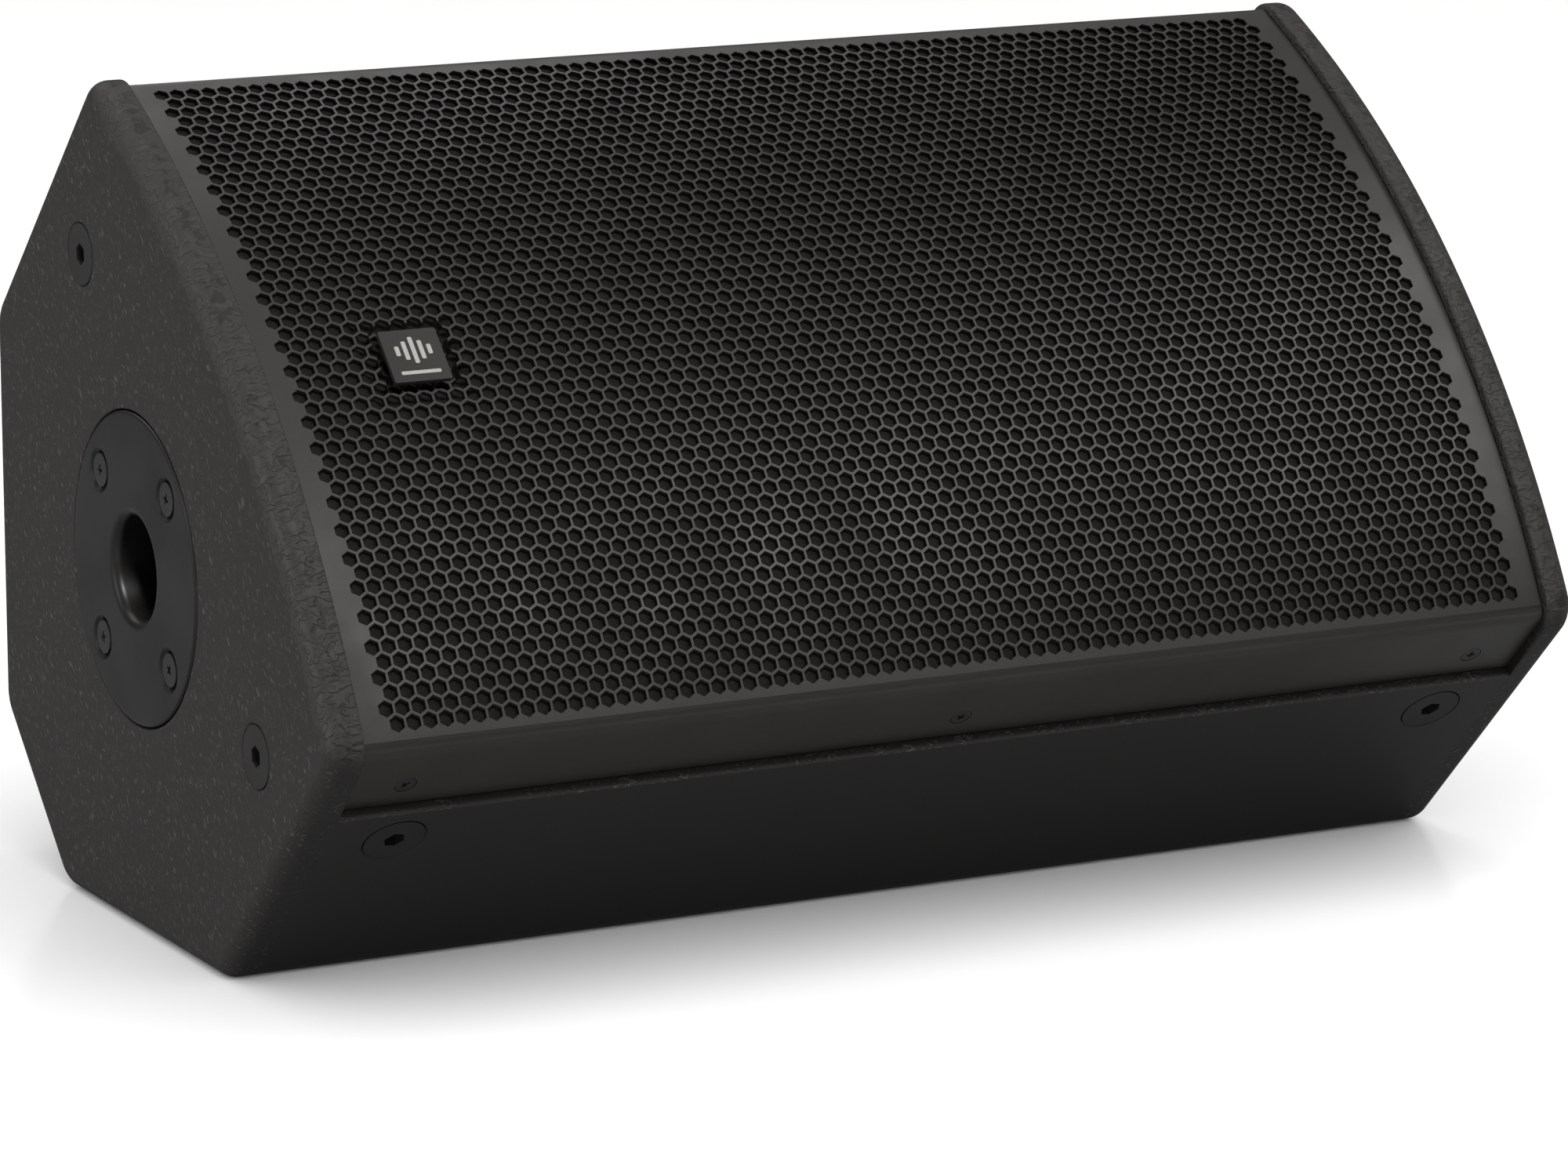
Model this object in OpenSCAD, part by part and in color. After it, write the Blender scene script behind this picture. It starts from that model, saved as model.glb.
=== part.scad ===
// Stage monitor wedge: a passive two-way floor loudspeaker with a curved
// perforated grille, raised end rails, a pole socket and plugged rigging points.
//
// World frame: the wedge lies on z = 0, its listening side faces -Y and up.
// Cabinet frame: x along the length, y up across the front, z out through the
// grille, with its origin on the crown of the grille. tilted() places it in the world.

/* [Cabinet] */
// Overall length across both end panels
cab_length = 512; // [460:2:600]
// Height of the front, from one side facet to the other
front_width = 300; // [284:2:340]
// Depth from the crown of the grille to the back panel
cab_depth = 274.5; // [270:0.5:310]
// Width of the flat back between the two chamfers
back_width = 83; // [76:1:110]
// Thickness of each end panel
end_thickness = 13; // [12:0.5:18]
// Thickness of the panels that wrap round between the ends
wall = 12; // [9:1:15]
// Radius of the cabinet's long corners
corner_radius = 16; // [14:1:20]
// Radius of the routed edge round each end panel
edge_radius = 7; // [4:0.5:9]

/* [Front] */
// Radius of the curved grille
grille_radius = 444; // [400:2:600]
// Sheet thickness of the grille
grille_sheet = 1.5; // [1:0.1:2]
// How far the end rails stand above the grille
rail_rise = 3.4; // [2:0.2:5]
// Length of the grille's flange down each side facet
flange_length = 36; // [30:1:44]
// Radius of the grille's bend onto its flange
bend_radius = 6; // [4:0.5:8]
// Radius of the end rails' front corners
rail_corner = 14; // [12:1:18]
// Thickness of the foam behind the grille
foam_thickness = 5; // [3:0.5:7]
// Distance from the crown of the grille to the baffle's face
baffle_drop = 34; // [33:0.5:40]
// Thickness of the baffle
baffle_thickness = 15; // [12:1:18]

/* [Badge] */
// Width of the square badge
badge_size = 22.4; // [18:0.2:26]
// Badge centre along the cabinet
badge_x = -184.2; // [-200:0.1:-120]
// Badge centre across the front
badge_y = -1.7; // [-20:0.1:20]
// Width of the square dish that is pressed into the grille round the badge
badge_dish = 28; // [27:0.2:32]
// Depth of the badge's dish
badge_dish_depth = 2.6; // [2:0.1:3]
// Centre of the badge's dish along the cabinet
badge_dish_x = -183.4; // [-200:0.1:-120]
// Centre of the badge's dish across the front
badge_dish_y = -0.8; // [-20:0.1:20]

/* [Woofer] */
// Diameter of the woofer's frame
woofer_frame_d = 260; // [250:1:262]
// Woofer centre along the cabinet
woofer_x = -91; // [-95:1:-85]
// Diameter of the cone where it meets the surround
cone_d = 196; // [180:2:204]
// Diameter of the magnet
magnet_d = 132; // [110:2:140]

/* [Horn] */
// Width of the square horn flange
horn_size = 168; // [150:2:176]
// Horn centre along the cabinet
horn_x = 146; // [140:1:150]

/* [Pole socket] */
// Bore of the socket, for a 35 mm pole
pole_bore = 36; // [35.5:0.1:38]
// Depth of the blind bore
pole_depth = 80; // [60:1:88]
// Diameter of the socket's flange
pole_flange_d = 115.8; // [100:0.2:124]
// Depth of the socket's axis below the crown of the grille
pole_drop = 123; // [115:1:130]
// Circle through the flange screws
pole_screw_pcd = 88.6; // [80:0.2:94]

/* [Rigging points] */
// Head diameter of the countersunk plug bolts
rig_head_d = 23.6; // [20:0.2:26]
// Across-flats size of their hexagon socket
rig_hex = 7; // [6:0.5:8]
// Distance of the end points from the middle of the front
rig_end_y = 110; // [100:1:118]
// Depth of the end points and the facet points below the crown
rig_drop = 79; // [74:1:90]
// Distance of the facet points from the cabinet's middle
rig_facet_x = 216; // [200:1:224]

/* [Rear connectors] */
// Length of the connector plate
plate_length = 150; // [130:2:170]
// Width of the connector plate
plate_width = 58; // [54:1:62]
// Connector plate's centre along the cabinet
plate_x = -60; // [-80:1:-40]
// Distance between the two connectors
socket_spacing = 50; // [42:1:60]
// Bore of each connector
socket_bore = 25; // [22:0.5:26]

/* [Hidden] */

$fn = 64;
sqrt2 = sqrt(2);
half_length = cab_length / 2;
half_front = front_width / 2;
back_z = -cab_depth;
// distance of both 45 degree facets from the crown, measured square to them
facet_reach = (back_width / 2 + cab_depth) / sqrt2;
inner_x = half_length - end_thickness;
grille_x = inner_x - 0.6;
rebate = rail_rise + grille_sheet;
baffle_z = -baffle_drop;
baffle_back = baffle_z - baffle_thickness;
// the grille's flange ends here, at the lip of the rebate
flange_end = -(half_front - rail_rise) * 0.16 - flange_length;
lip_gap = 1;
inner_front = half_front - wall;
pole_z = -pole_drop;
cup_wall = 3.5;
cup_flange = 4;
screw_clear = 0.15;

// colours
coat = "#2b2a28";
grille_grey = "#454442";
bolt_black = "#1d1d1d";
foam_black = "#141414";
birch = "#b8935f";
steel = "#8d8f92";
zinc = "#a9abad";
copper = "#b0703a";
paper = "#26262a";
rubber = "#1a1a1c";
board_green = "#2f5d46";

// ---- where the cabinet lies in the world

// lowest and frontmost reach of the rounded rail corner, square to the 45 degree facets
rail_centre_y = half_front - rail_corner;
rail_centre_z = -grille_radius
    + sqrt(pow(grille_radius + rail_rise - rail_corner, 2) - pow(rail_centre_y, 2));
front_reach = (rail_centre_y + rail_centre_z) / sqrt2 + rail_corner;
shift_y = -(facet_reach - front_reach) / 2;

module tilted() {
    translate([0, shift_y, facet_reach]) rotate([45, 0, 0]) children();
}

// a profile drawn in the cabinet's y-z plane, drawn out along x
module along_x(start, length) {
    translate([start, 0, 0]) rotate([90, 0, 90]) linear_extrude(length) children();
}

// children drawn along +z now point in through a cabinet face, from a point on it
module into_left_end(y, z) { translate([-half_length, y, z]) rotate([0, 90, 0]) children(); }
module into_right_end(y, z) { translate([half_length, y, z]) rotate([0, -90, 0]) children(); }
module into_lower_side(x, z, face = half_front) {
    translate([x, -face, z]) rotate([-90, 0, 0]) children();
}
module into_upper_side(x, z, face = half_front) {
    translate([x, face, z]) rotate([90, 0, 0]) children();
}
module into_back(x, y) { translate([x, y, back_z]) children(); }

// ---- the cabinet's outline in the y-z plane

front_steps = 36;
function arc(centre, r, from, to, steps) =
    [for (i = [0:steps]) let (a = from + (to - from) * i / steps) centre + r * [cos(a), sin(a)]];

// the outline moved in by inset, with its front corners rounded by front_r
function outline(inset, front_r, body_r = corner_radius, steps = 6) =
    let (hw = half_front - inset,
         fr = max(front_r, 0.2), br = max(body_r, 0.2),
         front = grille_radius + rail_rise - inset,
         reach = facet_reach - inset,
         c_front = [hw - fr, -grille_radius + sqrt(pow(front - fr, 2) - pow(hw - fr, 2))],
         c_side = [hw - br, hw - br - (reach - br) * sqrt2],
         c_back = [back_z + inset + br + (reach - br) * sqrt2, back_z + inset + br],
         lean = atan2(c_front[1] + grille_radius, c_front[0]),
         left = [-1, 1])
    concat(
        arc(c_back, br, -90, -45, steps),
        arc(c_side, br, -45, 0, steps),
        arc(c_front, fr, 0, lean, steps),
        [for (i = [1:front_steps - 1]) let (a = lean + (180 - 2 * lean) * i / front_steps)
            [0, -grille_radius] + front * [cos(a), sin(a)]],
        arc([-c_front[0], c_front[1]], fr, 180 - lean, 180, steps),
        arc([-c_side[0], c_side[1]], br, 180, 225, steps),
        arc([-c_back[0], c_back[1]], br, 225, 270, steps));

module ring(outer, inner, front_outer, front_inner) {
    difference() {
        polygon(outline(outer, front_outer, corner_radius - outer));
        polygon(outline(inner, front_inner, corner_radius - inner));
    }
}

// the wrap of the cabinet between its ends: one facet of it, bounded by two rays
// from the middle of the cabinet
core = [0, -140];
module wrap_facet(from, to) {
    far = 600;
    steps = 4;
    along_x(-inner_x, 2 * inner_x) intersection() {
        ring(0, wall, rail_corner, 2);
        polygon(concat([core], arc(core, far, from, to, steps)));
        translate([-half_front - 1, back_z - 1])
            square([front_width + 2, cab_depth + baffle_z + 1]);
    }
}
// the rays through the middles of the long corners
function corner_ray(y, z) = atan2(z - core[1], y - core[0]);
side_corner_z = half_front - facet_reach * sqrt2;
ray_front = 85;
ray_side = corner_ray(half_front, side_corner_z);
ray_back = corner_ray(back_width / 2, back_z);

// ---- shared fasteners, drawn from their head's face at z = 0 towards +z

module countersunk_screw(head_d, shank_d, length, drive = "cross", rim = 0) {
    head_h = (head_d - shank_d) / 2;
    recess = head_d * 0.22;
    difference() {
        union() {
            if (rim > 0) translate([0, 0, -rim]) cylinder(h = rim, d = head_d);
            cylinder(h = head_h, d1 = head_d, d2 = shank_d);
            translate([0, 0, head_h]) cylinder(h = length - head_h, d = shank_d);
        }
        if (drive == "cross") {
            for (turn = [0, 90])
                rotate(turn) translate([-recess, -head_d * 0.06, -1 - rim])
                    cube([2 * recess, head_d * 0.12, 1 + head_h * 0.7]);
        } else {
            translate([0, 0, -1]) cylinder(h = 1 + head_h * 0.8, d = rig_hex / cos(30), $fn = 6);
        }
    }
}
module countersink(head_d, shank_d, depth) {
    head_h = (head_d - shank_d) / 2;
    translate([0, 0, -0.01])
        cylinder(h = head_h + 0.01, d1 = head_d + 2 * screw_clear, d2 = shank_d + 2 * screw_clear);
    translate([0, 0, head_h - 0.01]) cylinder(h = depth, d = shank_d + 2 * screw_clear);
}
module pan_screw(head_d, head_h, shank_d, length) {
    difference() {
        union() {
            translate([0, 0, -head_h]) cylinder(h = head_h, d = head_d);
            cylinder(h = length, d = shank_d);
        }
        for (turn = [0, 90])
            rotate(turn) translate([-head_d * 0.28, -head_d * 0.07, -head_h - 1])
                cube([head_d * 0.56, head_d * 0.14, 1 + head_h * 0.6]);
    }
}

// ---- cabinet shell

rig_shank_d = 10;
rig_plate_t = 5;
end_rig_holes = [for (y = [-rig_end_y, rig_end_y]) [y, -rig_drop]];

// a solid through rings of points in the y-z plane, each ring being [x, points]
module loft(rings) {
    n = len(rings[0][1]);
    last = n * (len(rings) - 1);
    polyhedron(
        points = [for (r = rings) for (p = r[1]) [r[0], p[0], p[1]]],
        faces = concat(
            [[for (j = [0:n - 1]) j]],
            [[for (j = [n - 1:-1:0]) last + j]],
            [for (i = [0:len(rings) - 2], j = [0:n - 1], half = [0, 1])
                let (a = n * i + j, b = a + n, k = (j + 1) % n, c = n * (i + 1) + k, d = n * i + k)
                half == 0 ? [a, b, c] : [a, c, d]]),
        convexity = 4);
}

// a routed end panel, built with its outer face at x = 0 and its body towards +x
module end_blank() {
    layers = 4;
    loft(concat(
        [for (i = [layers:-1:0])
            let (a = 90 * i / layers, inset = edge_radius * (1 - cos(a)))
            [edge_radius * (1 - sin(a)), outline(inset, rail_corner - inset, corner_radius - inset)]],
        [[end_thickness, outline(0, rail_corner)]]));
}

cup_body_d = pole_bore + 2 * cup_wall;
module left_end_panel() {
    color(coat) tilted() difference() {
        translate([-half_length, 0, 0]) end_blank();
        for (p = end_rig_holes) into_left_end(p[0], p[1])
            countersink(rig_head_d, rig_shank_d, end_thickness + 2);
        // recess for the socket's flange, and the hole for its body
        into_left_end(0, pole_z) translate([0, 0, -1])
            cylinder(h = 1 + cup_flange + 0.1, d = pole_flange_d + 1.2, $fn = 96);
        into_left_end(0, pole_z) translate([0, 0, -1])
            cylinder(h = end_thickness + 2, d = cup_body_d + 3);
        for (i = [0:3]) into_left_end(0, pole_z) rotate(90 * i)
            translate([pole_screw_pcd / 2, 0, 0]) cylinder(h = end_thickness + 1, d = 6.4);
    }
}
module right_end_panel() {
    color(coat) tilted() difference() {
        translate([half_length, 0, 0]) mirror([1, 0, 0]) end_blank();
        for (p = end_rig_holes) into_right_end(p[0], p[1])
            countersink(rig_head_d, rig_shank_d, end_thickness + 2);
    }
}

// the rebate that the grille's flange lies in
module flange_rebate(side) {
    rebate_end = flange_end - lip_gap;
    along_x(-half_length, cab_length)
        translate([side > 0 ? half_front - rebate - 0.1 : -half_front - 20, rebate_end])
            square([20 + rebate + 0.1, -rebate_end + 20]);
}
module facet_rig_holes() {
    for (x = [-rig_facet_x, rig_facet_x]) {
        into_lower_side(x, -rig_drop) countersink(rig_head_d, rig_shank_d, wall + 2);
        into_upper_side(x, -rig_drop) countersink(rig_head_d, rig_shank_d, wall + 2);
    }
}
screw_rows_x = [-220.5, 0, 220.5];
flange_screw_z = -47.5;
flange_screw_len = 8.2;
flange_screw_head = 8;
flange_screw_shank = 4;
module flange_screw_holes() {
    for (x = screw_rows_x) {
        into_lower_side(x, flange_screw_z, half_front - rail_rise)
            countersink(flange_screw_head, flange_screw_shank, 20);
        into_upper_side(x, flange_screw_z, half_front - rail_rise)
            countersink(flange_screw_head, flange_screw_shank, 20);
    }
}
module upper_side_panel() {
    color(coat) tilted() difference() {
        wrap_facet(ray_side, ray_front);
        flange_rebate(1);
        facet_rig_holes();
        flange_screw_holes();
    }
}
module lower_front_panel() {
    color(coat) tilted() difference() {
        wrap_facet(180 - ray_front, 180 - ray_side);
        flange_rebate(-1);
        facet_rig_holes();
        flange_screw_holes();
    }
}
module rear_panel() { color(coat) tilted() wrap_facet(ray_back, ray_side); }
module base_panel() { color(coat) tilted() wrap_facet(-180 - ray_side, -180 - ray_back); }
dish_depth = 24;
dish_length = plate_length - 22;
dish_width = plate_width - 12;
module back_panel() {
    color(coat) tilted() difference() {
        wrap_facet(-180 - ray_back, ray_back);
        translate([plate_x - dish_length / 2 - 0.5, -dish_width / 2 - 0.5, back_z - 1])
            cube([dish_length + 1, dish_width + 1, wall + 2]);
        translate([plate_x - plate_length / 2 - 0.5, -plate_width / 2 - 0.5, back_z - 1])
            cube([plate_length + 1, plate_width + 1, 1 + 2]);
        for (p = plate_screws) into_back(p[0], p[1]) cylinder(h = wall - 1, d = plate_screw_shank + 0.2);
    }
}

woofer_cut_d = woofer_frame_d - 26;
horn_cut = horn_size - 22;
port_x = 36;
port_y = 111;
port_d = 44;
module front_baffle() {
    color(birch) tilted() difference() {
        translate([-inner_x, -inner_front, baffle_back])
            cube([2 * inner_x, 2 * inner_front, baffle_thickness]);
        translate([woofer_x, 0, baffle_back - 1])
            cylinder(h = baffle_thickness + 2, d = woofer_cut_d, $fn = 96);
        translate([horn_x - horn_cut / 2, -horn_cut / 2, baffle_back - 1])
            cube([horn_cut, horn_cut, baffle_thickness + 2]);
        for (y = [-port_y, port_y]) translate([port_x, y, baffle_back - 1])
            cylinder(h = baffle_thickness + 2, d = port_d + 0.2);
        for (p = woofer_bolt_places) translate([p[0], p[1], baffle_back - 1])
            cylinder(h = baffle_thickness + 2, d = woofer_bolt_hole);
        for (p = horn_screw_places) translate([p[0], p[1], baffle_back - 1])
            cylinder(h = baffle_thickness + 2, d = horn_screw_hole);
    }
}

// glue battens in the corners between the ends, behind the baffle and on the back
batten = 18;
module corner_battens() {
    spans = [[15 - inner_x, port_x - port_d / 2 - 4], [port_x + port_d / 2 + 4, inner_x - 15]];
    color(birch) tilted() for (y = [batten - inner_front, inner_front], span = spans)
        translate([span[0], y - batten, baffle_back - batten])
            cube([span[1] - span[0], batten, batten]);
}

// ---- grille

module grille_profile() {
    intersection() {
        ring(rail_rise, rebate, bend_radius, bend_radius - grille_sheet);
        translate([-half_front, flange_end]) square([front_width, -flange_end + 10]);
    }
}
module rounded_square(size, r) {
    square([size - 2 * r, size], center = true);
    square([size, size - 2 * r], center = true);
    for (sx = [-1, 1], sy = [-1, 1])
        translate([sx, sy] * (size / 2 - r)) circle(r = r, $fn = 24);
}
// a square block down to the given depth, over the badge's dish
dish_outer = badge_dish + 2 * grille_sheet;
module dish_block(size, r, depth, top) {
    translate([badge_dish_x, badge_dish_y, -depth])
        linear_extrude(depth + top) rounded_square(size, r);
}
module grille() {
    dish_r = 1;
    color(grille_grey) tilted() difference() {
        union() {
            along_x(-grille_x, 2 * grille_x) grille_profile();
            dish_block(dish_outer, dish_r + grille_sheet, badge_dish_depth + grille_sheet,
                -grille_sheet / 2);
        }
        dish_block(badge_dish, dish_r, badge_dish_depth, 1);
        translate([badge_x, badge_y, -8]) cylinder(h = 16, d = bush_d + 0.2);
        for (x = screw_rows_x) {
            into_lower_side(x, flange_screw_z, half_front - rail_rise)
                countersink(flange_screw_head, flange_screw_shank, 4);
            into_upper_side(x, flange_screw_z, half_front - rail_rise)
                countersink(flange_screw_head, flange_screw_shank, 4);
        }
    }
}
foam_top = grille_radius - grille_sheet - 0.2;
module grille_foam() {
    // the foam reaches under the last row of the grille's holes
    half = inner_front + 4;
    color(foam_black) tilted() difference() {
        along_x(-inner_x + 6, 2 * inner_x - 12) intersection() {
            difference() {
                translate([0, -grille_radius]) circle(r = foam_top, $fn = 360);
                translate([0, -grille_radius]) circle(r = foam_top - foam_thickness, $fn = 360);
            }
            translate([-half, -60]) square([2 * half, 80]);
        }
        dish_block(dish_outer + 1, 2, 20, 10);
    }
}
module grille_screws() {
    color(bolt_black) tilted() for (x = screw_rows_x) {
        into_lower_side(x, flange_screw_z, half_front - rail_rise)
            countersunk_screw(flange_screw_head, flange_screw_shank, flange_screw_len);
        into_upper_side(x, flange_screw_z, half_front - rail_rise)
            countersunk_screw(flange_screw_head, flange_screw_shank, flange_screw_len);
    }
}

// ---- badge: a square plate on a spindle that turns in a bush through the grille

bush_d = 9;
bush_flange_d = bush_d + 4;
spindle_d = 5;
badge_t = 1.8;
badge_corner = 1.2;
// the badge lies square to the cabinet over its dish, just clear of the grille's crown
badge_z = 0.25;
// the bush's flanges lie on both sides of the dish's floor
bush_gap = 0.05;
bush_bottom = -8.5;
module badge_plate() {
    color("#26282c") tilted() translate([badge_x, badge_y, badge_z]) difference() {
        linear_extrude(badge_t) rounded_square(badge_size, badge_corner);
        translate([0, 0, -1]) cylinder(h = 1 + badge_t / 2, d = spindle_d);
    }
}
module badge_spindle() {
    color(steel) tilted() translate([badge_x, badge_y, bush_bottom - 2])
        cylinder(h = badge_z + badge_t / 2 - bush_bottom + 2, d = spindle_d);
}
module badge_bush() {
    floor_back = -badge_dish_depth - grille_sheet;
    color(rubber) tilted() translate([badge_x, badge_y, 0]) difference() {
        union() {
            translate([0, 0, bush_bottom]) cylinder(h = -bush_bottom - bush_gap, d = bush_d);
            translate([0, 0, bush_gap - badge_dish_depth])
                cylinder(h = badge_dish_depth - 2 * bush_gap, d = bush_flange_d);
            translate([0, 0, bush_bottom])
                cylinder(h = floor_back - bush_gap - bush_bottom, d = bush_flange_d);
        }
        translate([0, 0, bush_bottom - 1]) cylinder(h = 20, d = spindle_d + 0.1);
    }
}
module badge_washer() {
    color(zinc) tilted() translate([badge_x, badge_y, bush_bottom - 1.1]) difference() {
        cylinder(h = 1, d = bush_d + 2);
        translate([0, 0, -1]) cylinder(h = 3, d = spindle_d);
    }
}

// ---- pole socket, turned about its axis and let into the left end

cup_lip = 5;
module pole_cup() {
    r_in = pole_bore / 2;
    r_out = cup_body_d / 2;
    color(bolt_black) tilted() into_left_end(0, pole_z) difference() {
        union() {
            cylinder(h = cup_flange, d = pole_flange_d, $fn = 96);
            cylinder(h = pole_depth + 4, r = r_out);
        }
        translate([0, 0, -1]) cylinder(h = pole_depth + 1, r = r_in);
        // rolled lead-in at the mouth
        rotate_extrude() difference() {
            translate([0, -1]) square([r_in + cup_lip, cup_lip + 1]);
            translate([r_in + cup_lip, cup_lip]) circle(r = cup_lip, $fn = 48);
        }
        for (i = [0:3]) rotate(90 * i) translate([pole_screw_pcd / 2, 0, 0])
            cup_screw_pocket();
    }
}
cup_screw_head = 12.6;
cup_screw_shank = 6;
// each screw's head has a straight rim, which stands in a wider round pocket
cup_screw_rim = 0.7;
cup_pocket_d = 16.4;
cup_pocket_depth = 1;
module cup_screw_pocket() {
    translate([0, 0, -1]) cylinder(h = 1 + cup_pocket_depth, d = cup_pocket_d);
    translate([0, 0, cup_pocket_depth - 0.01])
        countersink(cup_screw_head, cup_screw_shank, cup_flange + 2);
}
module pole_cup_screws() {
    color(bolt_black) tilted() into_left_end(0, pole_z)
        for (i = [0:3]) rotate(90 * i)
            translate([pole_screw_pcd / 2, 0, cup_pocket_depth])
                countersunk_screw(cup_screw_head, cup_screw_shank, 22, rim = cup_screw_rim);
}

// ---- rigging points: plate nuts behind the panels, plugged with countersunk bolts

module rig_bolt() {
    countersunk_screw(rig_head_d - 0.6, rig_shank_d, 24, "hex");
}
module rigging_plugs() {
    color(coat) tilted() {
        for (p = end_rig_holes) {
            into_left_end(p[0], p[1]) rig_bolt();
            into_right_end(p[0], p[1]) rig_bolt();
        }
        for (x = [-rig_facet_x, rig_facet_x]) {
            into_lower_side(x, -rig_drop) rig_bolt();
            into_upper_side(x, -rig_drop) rig_bolt();
        }
    }
}
module rig_plate(size_a, size_b, depth) {
    difference() {
        translate([-size_a / 2, -size_b / 2, depth + 0.1]) cube([size_a, size_b, rig_plate_t]);
        cylinder(h = 60, d = rig_shank_d + 0.1);
    }
}
module rigging_plates() {
    color(zinc) tilted() {
        for (p = end_rig_holes) {
            into_left_end(p[0], p[1]) rig_plate(36, 30, end_thickness);
            into_right_end(p[0], p[1]) rig_plate(36, 30, end_thickness);
        }
        for (x = [-rig_facet_x, rig_facet_x]) {
            into_lower_side(x, -rig_drop) rig_plate(28, 24, wall);
            into_upper_side(x, -rig_drop) rig_plate(28, 24, wall);
        }
    }
}

// ---- woofer, turned about its own axis; profiles are [radius, depth below the baffle face]

frame_r = woofer_frame_d / 2;
cone_r = cone_d / 2;
magnet_r = magnet_d / 2;
coil_r = 32;
frame_flange = 5;
surround_t = 1;
gasket_z = frame_flange + surround_t + 0.2;
magnet_top = -82;
plate_t = 8;
magnet_t = 20;
module woofer_axis() { translate([woofer_x, 0, baffle_z]) children(); }
module turned(profile, fn = 96) { rotate_extrude($fn = fn) polygon(profile); }

woofer_bolt_d = 5;
woofer_bolt_hole = woofer_bolt_d + 0.4;
woofer_bolt_places = [for (i = [0:7])
    [woofer_x, 0] + (frame_r - 6) * [cos(22.5 + 45 * i), sin(22.5 + 45 * i)]];

module woofer_frame() {
    rim = frame_r - 13.5;
    seat = magnet_r - 4;
    color("#232326") tilted() woofer_axis() difference() {
        union() {
            turned([[cone_r + 12, 0.3], [frame_r, 0.3], [frame_r, frame_flange],
                [cone_r + 12, frame_flange]]);
            turned([[cone_r + 12, 0.3], [cone_r + 12, frame_flange], [rim - 1, frame_flange],
                [rim, 0.3], [seat + 12, magnet_top + 10], [seat, magnet_top],
                [coil_r + 4, magnet_top], [coil_r + 4, magnet_top + 3],
                [seat - 2, magnet_top + 3], [seat + 8, magnet_top + 12]]);
        }
        for (i = [0:7]) rotate(22.5 + 45 * i) translate([frame_r - 6, 0, -1])
            cylinder(h = 12, d = woofer_bolt_hole);
        for (i = [0:5]) rotate(60 * i) translate([magnet_r + 26, 0, magnet_top + 34])
            rotate([0, 35, 0]) cube([70, 44, 26], center = true);
    }
}
module woofer_gasket() {
    color(foam_black) tilted() woofer_axis()
        turned([[cone_r + 13, gasket_z], [frame_r - 12.5, gasket_z],
            [frame_r - 12.5, gasket_z + 2.2], [cone_r + 13, gasket_z + 2.2]]);
}
module woofer_surround() {
    roll = 5;
    middle = cone_r + roll + 1;
    color(rubber) tilted() woofer_axis() rotate_extrude($fn = 96) {
        difference() {
            translate([middle, frame_flange + 0.6]) intersection() {
                circle(r = roll + surround_t, $fn = 40);
                translate([-20, 0]) square([40, 20]);
            }
            translate([middle, frame_flange + 0.6]) circle(r = roll, $fn = 40);
        }
        translate([middle + roll, frame_flange + 0.1]) square([7, surround_t]);
    }
}
cone_depth = 42;
module woofer_cone() {
    top = frame_flange;
    color(paper) tilted() woofer_axis()
        turned([[cone_r, top], [cone_r - 3, top + 0.9], [coil_r + 1.2, top - cone_depth + 2],
            [coil_r + 1.2, top - cone_depth - 0.5]]);
}
module woofer_dust_cap() {
    cap_r = 44;
    rise = 14;
    ball = (cap_r * cap_r + rise * rise) / (2 * rise);
    seat_z = frame_flange - cone_depth + 2 + 0.9 + (cap_r - coil_r - 1.2) * 0.62;
    color(paper) tilted() woofer_axis() translate([0, 0, seat_z]) rotate_extrude($fn = 96)
        intersection() {
            difference() {
                translate([0, rise - ball]) circle(r = ball, $fn = 180);
                translate([0, rise - ball]) circle(r = ball - 0.8, $fn = 180);
            }
            square([cap_r, rise + 1]);
        }
}
coil_gap = 1.2;
module woofer_voice_coil() {
    top = frame_flange - cone_depth + 1.6;
    bottom = magnet_top - 15;
    color(copper) tilted() woofer_axis() difference() {
        union() {
            translate([0, 0, bottom]) cylinder(h = top - bottom, r = coil_r);
            translate([0, 0, bottom]) cylinder(h = 15, r = coil_r + 0.6);
        }
        translate([0, 0, bottom - 1]) cylinder(h = 100, r = coil_r - 0.5);
    }
}
module woofer_spider() {
    level = magnet_top + 18;
    outer = magnet_r + 6.5;
    pleats = 5;
    step = (outer - coil_r - 1) / (2 * pleats);
    top_edge = [for (i = [0:2 * pleats]) [coil_r + 0.8 + step * i, level + (i % 2 == 0 ? 0 : 2.4)]];
    low_edge = [for (i = [2 * pleats:-1:0]) [coil_r + 0.8 + step * i, level - 0.6 + (i % 2 == 0 ? 0 : 2.4)]];
    color("#a98c4a") tilted() woofer_axis() turned(concat(top_edge, low_edge));
}
module woofer_top_plate() {
    color(zinc) tilted() woofer_axis() difference() {
        translate([0, 0, magnet_top - plate_t]) cylinder(h = plate_t, r = magnet_r - 6, $fn = 96);
        translate([0, 0, magnet_top - plate_t - 1]) cylinder(h = plate_t + 2, r = coil_r + coil_gap);
    }
}
module woofer_magnet() {
    color("#3a3a3c") tilted() woofer_axis() difference() {
        translate([0, 0, magnet_top - plate_t - magnet_t]) cylinder(h = magnet_t, r = magnet_r, $fn = 96);
        translate([0, 0, magnet_top - plate_t - magnet_t - 1]) cylinder(h = magnet_t + 2, r = coil_r + 6);
    }
}
module woofer_pole_piece() {
    base = magnet_top - plate_t - magnet_t;
    color(zinc) tilted() woofer_axis() difference() {
        union() {
            translate([0, 0, base - plate_t]) cylinder(h = plate_t, r = magnet_r - 6, $fn = 96);
            translate([0, 0, base - 0.01]) cylinder(h = plate_t + magnet_t, r = coil_r - 0.5 - coil_gap);
        }
        translate([0, 0, base - plate_t - 1]) cylinder(h = plate_t * 2 + magnet_t + 3, d = 16);
    }
}
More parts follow.
